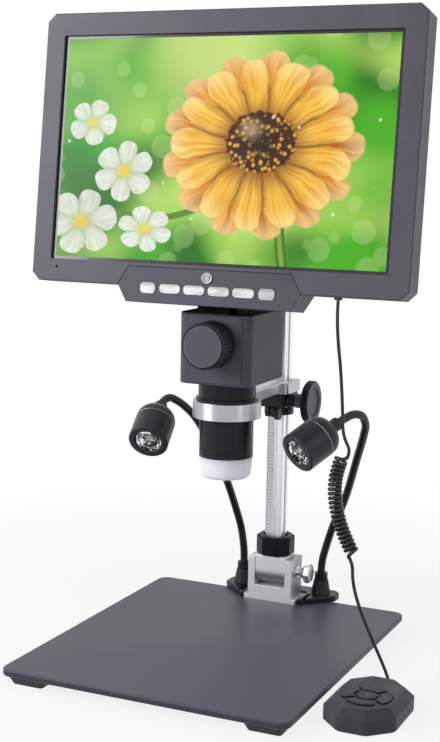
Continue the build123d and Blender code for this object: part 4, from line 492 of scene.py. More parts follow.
def toothed_metal(name, tone, tips):
    """Bright milled teeth with painted shade in the valleys behind their tips; tips is their y in metres."""
    f = Finish(name)
    grain = f.noise(1.0, 2.0, f.scaled((300.0, 3000.0, 3000.0)))
    # painted shade in the valleys between the teeth
    painted_valley_shade = f.parts()[1].ramp(tips + 0.1 * MM, tips + RACK_TOOTH_DEPTH * MM)
    base = f.mix(grain.ramp(0.3, 0.75, 0.0, 0.4), tone, shade(tone, 0.9))
    base = f.mix(painted_valley_shade, base, shade(tone, 0.78))
    roughness = grain.ramp(0.3, 0.7, 0.3, 0.4)
    return f.surface(Base_Color=base, Metallic=0.25, Roughness=roughness, Normal=f.bump(grain, 0.003))


def polished_metal(name, tone, rough, edge=0.15):
    """Bright plated metal with the odd hairline."""
    f = Finish(name)
    cloud = f.noise(160.0, 4.0)
    hair = f.noise(1.0, 2.0, f.scaled((900.0, 5200.0, 2600.0)))
    base = f.mix(cloud.ramp(0.3, 0.8), tone, shade(tone, 0.86))
    roughness = hair.ramp(0.4, 0.8, rough, rough + 0.1)
    return f.surface(Base_Color=base, Metallic=1.0, Roughness=roughness, Normal=f.soft_edges(edge))


def emitter_puck(name):
    """Cream resin top with darker swirls on a black stem."""
    f = Finish(name)
    swirl = f.noise(420.0, 2.0)
    cream = f.mix(swirl.ramp(0.42, 0.58), (0.95, 0.88, 0.74), (0.42, 0.36, 0.28))
    top = f.parts()[2].ramp((LAMP_SHOULDER - 0.2) * MM, (LAMP_SHOULDER + 0.2) * MM)
    base = f.mix(top, (0.01, 0.01, 0.012), cream)
    return f.surface(Base_Color=base, Roughness=swirl.ramp(0.3, 0.7, 0.3, 0.45))


def faceted_mirror(name, tone):
    """Bright plated facets with painted reflections in light and dark patches and dark slivers, and a painted
    glint here and there that glows.
    """
    f = Finish(name)
    light = f.parts(f.cells(1 / (FACET_PATCH * MM), result="Color"))[0]
    slivers = f.noise(700.0, 1.0)
    # painted reflections: light and dark patches
    base = f.mix(light.ramp(0.42, 0.5), shade(tone, 0.02), shade(tone, 1.15))
    # painted dark reflections in slivers
    base = f.mix(slivers.ramp(0.56, 0.66, 0.0, 0.8), base, shade(tone, 0.05))
    # painted glints, which glow by emission
    painted_glints = f.mix(light.ramp(0.66, 0.7), (0.0, 0.0, 0.0), (1.0, 1.0, 1.0))
    return f.surface(
        Base_Color=base,
        Metallic=0.6,
        Roughness=slivers.ramp(0.4, 0.7, 0.05, 0.16),
        Emission_Color=painted_glints,
        Emission_Strength=0.6,
    )


def clear_glass(name, tone):
    """Clear moulded glass with a trace of ripple."""
    f = Finish(name)
    ripple = f.noise(260.0, 2.0)
    base = f.mix(ripple.ramp(0.3, 0.8), tone, shade(tone, 0.965))
    return f.surface(
        Base_Color=base,
        Roughness=ripple.ramp(0.3, 0.8, 0.01, 0.035),
        Transmission_Weight=1.0,
        IOR=1.46,
        Normal=f.bump(ripple, 0.01, strength=0.5),
    )


def frosted_acrylic(name, tone):
    """Sanded translucent cap: painted shade of the tube's end towards its top, milky below, and a faint
    painted glow.
    """
    f = Finish(name)
    grain = f.noise(1500.0, 3.0)
    low, high = (height * MM for height in CAP_SHADE)
    # painted shade of the tube's end, darker towards the top
    base = f.mix(f.parts()[2].ramp(low, high, 0.0, 0.3), tone, shade(tone, 0.6))
    base = f.mix(grain.ramp(0.4, 0.7, 0.0, 0.12), base, (1.0, 1.0, 1.0))
    return f.surface(
        Base_Color=base,
        Roughness=grain.ramp(0.3, 0.7, 0.3, 0.42),
        Subsurface_Weight=0.8,
        Subsurface_Radius=(0.007, 0.007, 0.0075),
        Subsurface_Scale=1.0,
        # a faint painted glow, though the cap is no lamp
        Emission_Color=base,
        Emission_Strength=0.14,
        IOR=1.49,
        Normal=f.bump(grain, 0.01, f.soft_edges(0.3)),
    )


def circuit_board(name, tone):
    """Solder mask with tracks and gold pads."""
    f = Finish(name)
    layout = {"Vector": f.place, "Scale": 520.0, "Mortar Size": 0.03}
    tracks = f.node("ShaderNodeTexBrick", {}, layout, "Fac")
    spots = f.cells(420.0)
    base = f.mix(tracks * 0.6, tone, shade(tone, 1.8))
    base = f.mix(spots.ramp(0.16, 0.2, 1.0, 0.0), base, (0.72, 0.6, 0.32))
    roughness = spots.ramp(0.15, 0.22, 0.28, 0.42)
    return f.surface(Base_Color=base, Roughness=roughness, Normal=f.soft_edges(0.1))


def light_chip(name):
    """Yellow phosphor under clear silicone."""
    f = Finish(name)
    spots = f.cells(700.0)
    base = f.mix(spots.ramp(0.2, 0.5), (0.92, 0.78, 0.32), (0.88, 0.88, 0.8))
    return f.surface(Base_Color=base, Roughness=spots.ramp(0.2, 0.5, 0.16, 0.3), Coat_Weight=0.6)


def pearly_key(name, tone, low, high, last):
    """Silk-finish key, silvery white in soft bands, greyer at its upper edge and darker at its lower edge,
    both painted shade.

    low and high are its lower and upper heights, and last is where the greyer last key starts,
    in metres."""
    f = Finish(name)
    silk = f.noise(1.0, 3.0, f.scaled((420.0, 2600.0, 2600.0)))
    bands = f.noise(1.0, 1.0, f.scaled((95.0, 30.0, 210.0)))
    base = f.mix(bands.ramp(0.38, 0.62), shade(tone, 1.14), shade(tone, 0.78))
    base = f.mix(silk.ramp(0.35, 0.75, 0.0, 0.4), base, shade(tone, 0.86))
    x, z = f.parts()[::2]
    height = (z - low) / (high - low)
    # painted shade at the key's upper edge
    base = f.mix(height.ramp(0.62, 0.9, 0.0, 0.75), base, shade(tone, 0.42))
    # painted shade at the key's lower edge
    base = f.mix(height.ramp(0.06, 0.2, 0.5, 0.0), base, shade(tone, 0.5))
    base = f.mix(x.ramp(last - 1.0 * MM, last, 0.0, 0.5), base, shade(tone, 0.5))
    return f.surface(
        Base_Color=base,
        Roughness=silk.ramp(0.3, 0.75, 0.24, 0.36),
        Coat_Weight=0.4,
        Normal=f.bump(silk, 0.006, f.soft_edges(0.25)),
    )


def knob_with_face(name, tone, face_tone, centre, axis, radius, line, line_shade):
    """Black knurled knob with a paler flat disc and a painted ringed line, painted shade where line_shade is
    below 1 and a painted highlight where it is above.

    centre is in metres, axis is 0 for X and 1 for Y, and the disc's and the line's radius are
    in mm."""
    f = Finish(name)
    numbers = f.parts()
    across, up = ((numbers[i] - centre[i]) * TO_MM for i in range(3) if i != axis)
    reach = distance(across, up)
    fine = f.noise(2400.0, 3.0)
    turned = (reach * 22.0).maths("SINE")
    disc = reach.ramp(radius - 0.25, radius, 1.0, 0.0)
    base = f.mix(disc, tone, face_tone)
    # the painted ringed line: darker than the face for painted shade, paler for a painted highlight
    ring = (reach - line).maths("ABSOLUTE").ramp(0.15, 0.4, 0.85, 0.0)
    base = f.mix(ring, base, shade(face_tone, line_shade))
    base = f.mix(fine.ramp(0.45, 0.75, 0.0, 0.3), base, shade(face_tone, 1.2))
    return f.surface(
        Base_Color=base,
        Roughness=disc * (turned * 0.03 + 0.02) + 0.42,
        Normal=f.bump(fine + turned * disc * 0.2, 0.01, f.soft_edges(0.3)),
        IOR=1.47,
        Specular_IOR_Level=0.25,
    )


def ringed_button(name, tone, centre):
    """Satin metal push button with turned rings; it is pressed along Y, and centre is in metres."""
    f = Finish(name)
    x, z = f.parts()[::2]
    reach = distance((x - centre.x) * TO_MM, (z - centre.z) * TO_MM)
    turned = (reach * 30.0).maths("SINE")
    base = f.mix(reach.ramp(0.45, 0.65), shade(tone, 0.25), tone)
    groove = (reach - 1.7).maths("ABSOLUTE").ramp(0.2, 0.4, 0.85, 0.0)
    base = f.mix(groove, base, shade(tone, 0.16))
    roughness = turned.ramp(-1.0, 1.0, 0.3, 0.4)
    return f.surface(Base_Color=base, Metallic=0.6, Roughness=roughness, Normal=f.bump(turned, 0.004))


def display_glass(name):
    """Dark laminated face of the display, with its printed black border."""
    f = Finish(name)
    dust = f.noise(900.0, 3.0)
    base = f.mix(dust.ramp(0.5, 0.8), (0.006, 0.006, 0.008), (0.014, 0.014, 0.016))
    return f.surface(Base_Color=base, Roughness=dust.ramp(0.4, 0.8, 0.16, 0.24), Coat_Weight=0.3)


# ------------------------------------------------------------------ the picture on the screen


def petal_ring(f, x, y, centre, reach, count, turned, squash, wave):
    """Mask, distance from the middle, place across a petal and streaks of one ring of petals."""
    across = (x - centre[0]) / reach
    up = (y - centre[1]) / (reach * squash)
    far = distance(across, up)
    angle = up.maths("ARCTAN2", across) * (count / (2 * math.pi)) + (wave - 0.5) * 0.55 + turned
    beside = ((angle + 40.0).maths("FRACT") - 0.5).maths("ABSOLUTE") * 2.0
    edge = 1.0 - beside ** 3.0 * 0.34
    mask = (edge - far).ramp(0.0, 0.035)
    streaks = f.noise(1.0, 4.0, f.joined(angle * 9.0, far * 1.6, turned))
    return mask, far, beside, streaks


def screen_picture(name):
    """A close-up of blossoms: golden coneflower, white blooms and blurred leaves."""
    f = Finish(name)
    x, y = (part * TO_MM for part in f.parts()[:2])
    wave = f.noise(34.0, 2.0)
    wash = f.noise(16.0, 1.0)
    wash_two = f.noise(9.0, 1.0, f.scaled((1.0, 1.6, 1.0)))

    # leaves far behind, out of focus
    sky = f.mix(wash.ramp(0.36, 0.62), (0.012, 0.16, 0.004), (0.07, 0.42, 0.012))
    sky = f.mix(wash_two.ramp(0.46, 0.66), sky, (0.46, 0.72, 0.13))
    sunny = distance(x + 8.0, y - 62.0)
    sky = f.mix(sunny.ramp(12.0, 66.0, 0.85, 0.0), sky, (0.62, 0.78, 0.22))
    shady = distance(x + 100.0, y - 26.0)
    sky = f.mix(shady.ramp(6.0, 62.0, 0.8, 0.0), sky, (0.01, 0.3, 0.008))
    bokeh = f.cells(46.0)
    sky = f.mix(bokeh.ramp(0.30, 0.36, 0.16, 0.0), sky, (0.82, 0.92, 0.42))

    # stems
    bend = (y * 0.032).maths("SINE") * 7.0
    stem = (x - 44.0 - bend + y * 0.10).maths("ABSOLUTE")
    below = y.ramp(-16.0, -6.0, 1.0, 0.0)
    stem_tone = f.mix(stem.ramp(0.0, 3.2), (0.22, 0.42, 0.05), (0.03, 0.12, 0.008))
    sky = f.mix(stem.ramp(2.6, 3.6, 1.0, 0.0) * below, sky, stem_tone)
    twig = (y + 30.0 - (x * 0.05).maths("SINE") * 6.0 - x * 0.16).maths("ABSOLUTE")
    leftwards = x.ramp(-10.0, 20.0, 1.0, 0.0)
    sky = f.mix(twig.ramp(1.4, 2.6, 1.0, 0.0) * leftwards, sky, (0.10, 0.24, 0.02))

    # white blooms on the left, the farther ones softer
    for centre, reach, count, turned, squash, blur in (
        ((-92.0, -46.0), 26.0, 6, 0.3, 0.8, 0.55),
        ((-64.0, -14.0), 21.0, 6, 0.1, 0.9, 0.35),
        ((-88.0, 16.0), 17.0, 5, 0.6, 0.85, 0.5),
        ((-47.0, -49.0), 19.0, 6, 0.8, 0.75, 0.25),
    ):
        petals = petal_ring(f, x, y, centre, reach, count, turned, squash, wave)
        mask, far, beside, streaks = petals
        tone = f.mix(streaks.ramp(0.3, 0.7), (0.93, 0.93, 0.88), (0.70, 0.74, 0.64))
        tone = f.mix((beside ** 4.0) * 0.6, tone, (0.36, 0.47, 0.22))
        tone = f.mix(far.ramp(0.16, 0.5, 0.75, 0.0), tone, (0.55, 0.62, 0.16))
        tone = f.mix(far.ramp(0.13, 0.22, 1.0, 0.0), tone, (0.93, 0.66, 0.09))
        sky = f.mix(mask * (1.0 - blur * 0.4), sky, tone)

    # golden coneflower: two rings of petals, then its dark furry dome
    heart = (26.0, 3.0)
    dark_tones = ((0.46, 0.13, 0.006), (0.86, 0.36, 0.02))
    light_tones = ((0.80, 0.33, 0.015), (0.98, 0.66, 0.10))
    for reach, turned, (deep, bright) in ((66.0, 0.5, dark_tones), (60.0, 0.02, light_tones)):
        mask, far, beside, streaks = petal_ring(f, x, y, heart, reach, 13, turned, 0.86, wave)
        tone = f.mix(streaks.ramp(0.3, 0.72), deep, bright)
        tone = f.mix((beside ** 5.0) * 0.85, tone, (0.16, 0.035, 0.003))
        tone = f.mix(far.ramp(0.3, 0.62, 0.8, 0.0), tone, (0.24, 0.05, 0.004))
        tone = f.mix(far.ramp(0.7, 1.0, 0.0, 0.5), tone, (1.0, 0.86, 0.42))
        sky = f.mix(mask, sky, tone)
    across, up = (x - heart[0]) / 22.0, (y - heart[1] - 2.0) / 18.0
    dome = distance(across, up)
    fur = f.noise(1.0, 4.0, f.joined(up.maths("ARCTAN2", across) * 7.0, dome * 1.2))
    florets = f.cells(300.0)
    rim = dome + (fur - 0.5) * 0.34
    tone = f.mix(florets.ramp(0.1, 0.55), (0.78, 0.42, 0.05), (0.05, 0.012, 0.002))
    tone = f.mix(dome.ramp(0.15, 0.62, 0.9, 0.0), tone, (0.016, 0.008, 0.004))
    lit = distance(across + 0.3, up - 0.42)
    tone = f.mix(lit.ramp(0.0, 0.5, 0.5, 0.0), tone, (0.72, 0.52, 0.30))
    sky = f.mix(rim.ramp(0.96, 1.06, 1.0, 0.0), sky, tone)

    # a few dewdrops
    drops = f.cells(58.0, vector=f.scaled((1.0, 1.0, 0.0)))
    sky = f.mix(drops.ramp(0.05, 0.075, 0.5, 0.0), sky, (1.0, 0.98, 0.9))
    return f.surface(
        Base_Color=(0.0, 0.0, 0.0),
        Roughness=0.3,
        Emission_Color=sky,
        Emission_Strength=1.0,
        Specular_IOR_Level=0.2,
    )


# ------------------------------------------------------------------ mesh helpers


def link(name, data):
    """An object in the scene for a mesh, curve, light or camera."""
    thing = bpy.data.objects.new(name, data)
    bpy.context.scene.collection.objects.link(thing)
    return thing


def new_piece(name, mesh, material, smooth=True):
    """Puts a mesh in the scene as a piece with its finish."""
    piece = link(name, mesh)
    mesh.materials.append(material)
    if smooth:
        mesh.shade_smooth()
    return piece


def dress(material, *names):
    """Gives CAD nodes a finish."""
    for name in names:
        slots = NODES[name].data.materials
        slots.clear()
        slots.append(material)


def centre_of(node):
    """The middle of a node's box, in metres."""
    low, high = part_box(node)
    return (low + high) / 2


def oblong(left, bottom, right, top):
    """The corners of an oblong, anticlockwise."""
    return [(left, bottom), (right, bottom), (right, top), (left, top)]


def circle(radius, count):
    """Points of a circle about the origin, anticlockwise."""
    angles = (2 * math.pi * k / count for k in range(count))
    return [(radius * math.cos(a), radius * math.sin(a)) for a in angles]


def finished(work, name):
    """The mesh of a bmesh with its faces outwards."""
    bmesh.ops.recalc_face_normals(work, faces=work.faces)
    mesh = bpy.data.meshes.new(name)
    work.to_mesh(mesh)
    work.free()
    return mesh


def ring_mesh(profile, around=48):
    """A closed mesh turned about Z from a closed profile of (radius, height), in millimetres."""
    work = bmesh.new()
    rings = []
    for radius, height in profile:
        rim = circle(radius * MM, around)
        rings.append([work.verts.new((x, y, height * MM)) for x, y in rim])
    for lower, upper in zip(rings, rings[1:] + rings[:1]):
        for k in range(around):
            work.faces.new((lower[k - 1], lower[k], upper[k], upper[k - 1]))
    return finished(work, "ring")


def slab_mesh(outlines, thickness, bevel=0.0):
    """Flat-topped solids from outlines of (x, y) points in millimetres, standing on z = 0."""
    work = bmesh.new()
    for outline in outlines:
        floor = [work.verts.new((x * MM, y * MM, 0.0)) for x, y in outline]
        face = work.faces.new(floor)
        made = bmesh.ops.extrude_face_region(work, geom=[face])
        top = [v for v in made["geom"] if isinstance(v, bmesh.types.BMVert)]
        bmesh.ops.translate(work, verts=top, vec=(0.0, 0.0, thickness * MM))
    if bevel:
        rims = [e for e in work.edges if all(v.co.z > thickness * MM * 0.5 for v in e.verts)]
        bmesh.ops.bevel(work, geom=rims, offset=bevel * MM, segments=2, affect="EDGES")
    return finished(work, "slab")


def placed(origin, x, y, z):
    """A matrix from its origin, in metres, and its three ways."""
    return Matrix.Translation(origin) @ Matrix((x, y, z)).transposed().to_4x4()


def facing(origin, way):
    """A matrix whose Z is a way and whose X is as near to the world's as that allows."""
    z = way.normalized()
    right = Vector((1, 0, 0))
    x = (right - z * right.dot(z)).normalized()
    return placed(origin, x, z.cross(x), z)


def screen_frame(out):
    """The monitor's own frame: X right, Y up the screen, Z out of it, its origin out mm from the bezel."""
    up = Vector((0, math.sin(SCREEN_LEAN), math.cos(SCREEN_LEAN)))
    away = Vector((0, -math.cos(SCREEN_LEAN), math.sin(SCREEN_LEAN)))
    return facing((HINGE + up * SCREEN_RISE + away * (HINGE_INSET + out)) * MM, away)


def lamp_frame(side):
    """A lamp head's own frame: Z the way that it shines, its origin at the rear of the barrel."""
    aim = LAMP_AIMS[side].normalized()
    return facing((LAMP_ENDS[side] - aim * LAMP_LENGTH) * MM, aim)


# ------------------------------------------------------------------ cord


def spline_of(name, points, detail):
    """A curve object: one open smooth spline with these control points, in metres."""
    curve = bpy.data.curves.new(name, "CURVE")
    curve.dimensions = "3D"
    curve.resolution_u = detail
    spline = curve.splines.new("NURBS")
    spline.points.add(len(points) - 1)
    for control, point in zip(spline.points, points):
        control.co = (*point, 1.0)
    spline.order_u = 3
    spline.use_endpoint_u = True
    return link(name, curve)


def line_points(line):
    """The places that a curve passes through."""
    mesh = bpy.data.meshes.new_from_object(line)
    places = [v.co.copy() for v in mesh.vertices]
    bpy.data.meshes.remove(mesh)
    return places


def length_of(places):
    """The length of a line through these places."""
    return sum((b - a).length for a, b in zip(places, places[1:]))


def cord_piece(name, points, diameter, material, node, detail=12):
    """A length of cord along a smooth spline, which stands for a node."""
    line = spline_of(name, points, detail)
    places = line_points(line)
    line.data.bevel_depth = diameter / 2
    line.data.bevel_resolution = 4
    line.data.use_fill_caps = True
    mesh = bpy.data.meshes.new_from_object(line)
    bpy.data.objects.remove(line)
    piece = new_piece(name, mesh, material)
    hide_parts(node)
    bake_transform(piece)


def curly_points(axis_points, settings):
    """Control points of the curly part: a helix about the smooth line of its axis."""
    line = spline_of("curly_axis", axis_points, 24)
    axis = line_points(line)
    bpy.data.objects.remove(line)
    whole = length_of(axis)
    lead = CURL_LEAD * MM
    # the cord leaves on the other side from where it comes in, so the turns end in a half
    turns = round((whole - 2 * lead) / settings.coil_pitch) + 0.5
    steps = int(turns * settings.turn_points)
    walked = [0.0]
    for a, b in zip(axis, axis[1:]):
        walked.append(walked[-1] + (b - a).length)
    points = []
    place = 0
    for k in range(steps + 1):
        turned = k / settings.turn_points
        start_lead = lead * (1 - math.exp(-turned * CURL_LEAD_EASE))
        end_lead = lead * math.exp(-(turns - turned) * CURL_LEAD_EASE)
        along = start_lead + end_lead + (whole - 2 * lead) * k / steps
        while place < len(axis) - 2 and walked[place + 1] < along:
            place += 1
        share = (along - walked[place]) / (walked[place + 1] - walked[place])
        middle = axis[place].lerp(axis[place + 1], min(1.0, share))
        way = (axis[place + 1] - axis[place]).normalized()
        side = Vector((0, 1, 0)).cross(-way).normalized()
        back = way.cross(side)
        angle = 2 * math.pi * turned
        tuck = CURL_END_TUCK * MM * math.exp(-CURL_TUCK_EASE * min(turned, turns - turned))
        reach = settings.coil_radius - tuck
        points.append(middle + (side * math.cos(angle) + back * math.sin(angle)) * reach)
    return points


# ------------------------------------------------------------------ operators


class MICROSCOPE_OT_cord(bpy.types.Operator):
    """Lay the remote's cord: from the monitor down to its curly part, and on to the remote"""

    bl_idname = "microscope.cord"
    bl_label = "Cord"

    def execute(self, context):
        settings = context.scene.microscope_cord
        black = context.scene.microscope_colours.black
        jacket = soft_rubber("cord_vinyl", shade(black, 0.9), rough=0.3, gloss=0.3)
        runs = (CORD_FROM_MONITOR, CORD_TO_COIL, COIL_AXIS, CORD_DROP, CORD_TO_REMOTE)
        routes = [[Vector(place) * MM for place in run] for run in runs]
        from_monitor, to_coil, axis, drop, to_remote = routes
        curls = curly_points(axis, settings)
        curls[0] = to_coil[-1]
        curls[-1] = drop[0]
        thin, curly = settings.diameter, settings.curly_diameter
        cord_piece("cord_from_monitor", from_monitor, thin, jacket, "cord_upper")
        cord_piece("cord_to_coil", to_coil, thin, jacket, "cord_middle")
        cord_piece("cord_curly", curls, curly, jacket, "cord_coil", detail=2)
        cord_piece("cord_drop", drop, thin, jacket, "cord_lower")
        cord_piece("cord_to_remote", to_remote, thin, jacket, "cord_lower")
        return {"FINISHED"}


class MICROSCOPE_OT_stand(bpy.types.Operator):
    """Finish the base plate, feet, screws, yoke bracket and lamp mount"""

    bl_idname = "microscope.stand"
    bl_label = "Stand"

    def execute(self, context):
        tones = context.scene.microscope_colours
        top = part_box("base_plate")[1].z / MM
        dress(powder_coat("plate_powder_coat", tones.plate, top), "base_plate")
        dress(soft_rubber("foot_rubber", shade(tones.plate, 0.22)), "base_feet")
        dress(polished_metal("screw_zinc", shade(tones.chrome, 0.8), 0.2), "base_screws")
        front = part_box("yoke_bracket")[0].y / MM
        # painted shade towards the back of the slot between the bracket's ears
        axis, near, far, *darkness = BRACKET_SHADE
        deep = (axis, front + near, front + far, *darkness)
        skin, along = shade(tones.silver, 1.4), (1.0, 0.5, 0.05)
        cast = satin_metal("yoke_satin", skin, 0.38, along, 0.4, 0.5, metal=0.55, painted_band_shade=deep)
        dress(cast, "yoke_bracket")
        mount = moulded_plastic("mount_black_plastic", shade(tones.black, 1.2), 0.3, 0.01, 0.34)
        dress(mount, "lamp_mount")
        return {"FINISHED"}


class MICROSCOPE_OT_column(bpy.types.Operator):
    """Finish the tilting column with its rack, block, nut and clamp screw"""

    bl_idname = "microscope.column"
    bl_label = "Column"

    def execute(self, context):
        tones = context.scene.microscope_colours
        skin, along = shade(tones.silver, 1.5), (0.05, 0.6, 1.0)
        # painted shade and a painted dark reflection under the block's curve
        block = satin_metal("block_satin", skin, 0.34, along, 0.4, 0.5, metal=0.55, painted_band_shade=SADDLE_SHADE)
        dress(block, "pivot_block")
        skin, along = shade(tones.silver, 1.36), (1.0, 1.0, 0.002)
        dress(satin_metal("column_anodised", skin, 0.3, along, 0.25, 0.3, drawn=0.8), "column")
        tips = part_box("column_rack")[0].y
        dress(toothed_metal("rack_steel", shade(tones.silver, 1.5), tips), "column_rack")
        skin = shade(tones.black, 0.6)
        dress(moulded_plastic("nut_black_plastic", skin, 0.4, 0.008, 0.36, gloss=0.15), "column_nut")
        dress(polished_metal("clamp_chrome", tones.chrome, 0.28, 0.5), "clamp_screw")
        return {"FINISHED"}


class MICROSCOPE_OT_carriage(bpy.types.Operator):
    """Finish the carriage with its ring, the pinion housing, the height knob and the limit collar"""

    bl_idname = "microscope.carriage"
    bl_label = "Carriage"

    def execute(self, context):
        tones = context.scene.microscope_colours
        skin, along = shade(tones.silver, 0.88), (0.3, 0.3, 1.0)
        turned = satin_metal("ring_turned_aluminium", skin, 0.42, along, 0.4, 0.6, drawn=0.9)
        dress(turned, "carriage")
        dress(polished_metal("pinion_steel", shade(tones.chrome, 0.75), 0.18), "pinion_shaft")
        housing = moulded_plastic("housing_black_plastic", tones.black, 0.3, 0.01, 0.38)
        dress(housing, "pinion_housing", "limit_collar", "collar_screw")
        face = {"centre": centre_of("height_knob"), "axis": 0, "radius": 13.3, "line": 10.15}
        skin = shade(tones.case, 1.35)
        # its ringed line is painted shade along the recess's edge
        knob = knob_with_face("height_knob_plastic", tones.black, skin, line_shade=0.2, **face)
        dress(knob, "height_knob")
        return {"FINISHED"}


class MICROSCOPE_OT_camera_head(bpy.types.Operator):
    """Finish the camera's case, tubes, frosted cap, ring of lights, lens and focus knob"""

    bl_idname = "microscope.camera_head"
    bl_label = "Camera head"

    def execute(self, context):
        tones = context.scene.microscope_colours
        case, black = tones.case, tones.black
        # the box's top under the monitor gets painted shade
        look = {"edge": 0.6, "gloss": 0.15, "painted_top_shade": CAMERA_BOX_TOP}
        box = moulded_plastic("camera_case_plastic", shade(case, 0.93), 0.4, 0.014, 0.44, **look)
        dress(box, "camera_body", "camera_front")
        upper = moulded_plastic("tube_black_gloss", shade(black, 0.9), 0.6, 0.003, 0.26, gloss=0.2)
        dress(upper, "tube_upper")
        lower = moulded_plastic("tube_black_satin", shade(black, 1.1), 0.25, 0.006, 0.3, gloss=0.22)
        dress(lower, "tube_lower")
        dress(frosted_acrylic("cap_frosted_acrylic", tones.cap), "diffuser_cap")
        dress(circuit_board("ring_board_white", (0.55, 0.56, 0.54)), "led_ring")
        dress(circuit_board("sensor_board_green", (0.02, 0.12, 0.05)), "sensor_board")
        dress(polished_metal("carrier_alloy", shade(tones.silver, 0.6), 0.3), "lens_carrier")
        dress(clear_glass("objective_glass", (0.93, 0.97, 0.96)), "lens_glass")
        dress(polished_metal("focus_shaft_steel", shade(tones.chrome, 0.75), 0.18), "focus_shaft")
        face = {"centre": centre_of("focus_knob"), "axis": 1, "radius": 12.3, "line": 12.0}
        # its ringed line is a painted highlight along the face's rim
        knob = knob_with_face("focus_knob_plastic", black, shade(case, 0.95), line_shade=1.8, **face)
        dress(knob, "focus_knob")
        return {"FINISHED"}


class MICROSCOPE_OT_monitor(bpy.types.Operator):
    """Finish the monitor's bezel, rear shell, display, board and screws, and light its picture"""

    bl_idname = "microscope.monitor"
    bl_label = "Monitor"

    def execute(self, context):
        tones = context.scene.microscope_colours
        case = tones.case
        dress(moulded_plastic("bezel_plastic", case, 0.35, 0.01, 0.4, 0.5), "monitor_bezel")
        dress(moulded_plastic("panel_plastic", shade(case, 0.86), 0.3, 0.008, 0.42), "button_panel")
        rear = moulded_plastic("rear_shell_plastic", shade(case, 1.02), 0.5, 0.02, 0.46, 0.5)
        dress(rear, "monitor_rear")
        dress(display_glass("display_black_glass"), "lcd_panel")
        dress(circuit_board("main_board_green", (0.02, 0.12, 0.05)), "main_board")
        dress(polished_metal("case_screw_zinc", shade(tones.chrome, 0.7), 0.2), "monitor_screws", "hinge_pin")

        half_width, half_height = LIT_WIDTH / 2, LIT_HEIGHT / 2
        picture_area = oblong(-half_width, -half_height, half_width, half_height)
        sheet = slab_mesh([picture_area], PICTURE_THICKNESS)
        lit = screen_picture("lit_picture")
        picture = new_piece("screen_picture", sheet, lit, smooth=False)
        picture.matrix_world = screen_frame(-DISPLAY_SINK - 0.02)
        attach(picture, "monitor")
        return {"FINISHED"}


class MICROSCOPE_OT_buttons(bpy.types.Operator):
    """Finish the six keys and the round button under the screen, with its bright rim"""

    bl_idname = "microscope.buttons"
    bl_label = "Buttons"

    def execute(self, context):
        tones = context.scene.microscope_colours
        keys = [f"button_{k}" for k in range(1, 7)]
        first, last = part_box(keys[0]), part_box(keys[-1])
        dress(pearly_key("key_pearl", tones.key, first[0].z, first[1].z, last[0].x), *keys)
        centre = centre_of("power_button")
        satin = ringed_button("button_satin_chrome", shade(tones.chrome, 0.5), centre)
        dress(satin, "power_button")
        # the rim stands on the panel, around the button's axis
        middle = screen_frame(PANEL_PROUD)
        out = middle.to_3x3().col[2]
        centre -= out * (centre - middle.translation).dot(out)
        profile = [(2.75, -0.1), (3.25, -0.1), (3.3, 0.12), (3.15, 0.28), (2.9, 0.28), (2.7, 0.1)]
        chrome = polished_metal("button_rim_chrome", shade(tones.chrome, 0.62), 0.2)
        rim = new_piece("power_button_rim", ring_mesh(profile), chrome)
        rim.matrix_world = Matrix.Translation(centre) @ middle.to_3x3().to_4x4()
        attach(rim, "power_button")
        return {"FINISHED"}


def lamp_profiles():
    """The turned pieces of a lamp head: the profile of each, and how many sides it has around."""
    seat, rim = LAMP_LENS_SEAT + SEAT_GAP, LAMP_RIM
    cup = [(3.4, LAMP_BASE_TOP), (4.9, 15.4), (6.0, 17.6), (6.7, 20.0), (7.1, seat), (7.75, seat + 0.4)]
    cup += [(7.95, rim), (LAMP_MOUTH, rim), (LAMP_MOUTH, seat)]
    cup += [(LAMP_CAVITY, seat), (LAMP_CAVITY, LAMP_BASE_TOP)]
    puck = [(0.01, 22.6), (2.6, 22.5), (4.2, 21.9), (4.7, LAMP_SHOULDER)]
    puck += [(4.7, LAMP_BASE_TOP), (0.01, LAMP_BASE_TOP)]
    dome = [(0.01, rim - 0.9), (7.6, rim - 1.5), (7.6, rim - 1.0)]
    dome += [(6.0, rim - 0.4), (3.5, rim), (0.01, rim + 0.1)]
    inner, outer = LAMP_BAND
    band = oblong(inner, LAMP_SEAM - LAMP_SEAM_HALF, outer, LAMP_SEAM + LAMP_SEAM_HALF)
    return {"reflector": (cup, 20), "emitter": (puck, 48), "dome": (dome, 48), "band": (band, 72)}


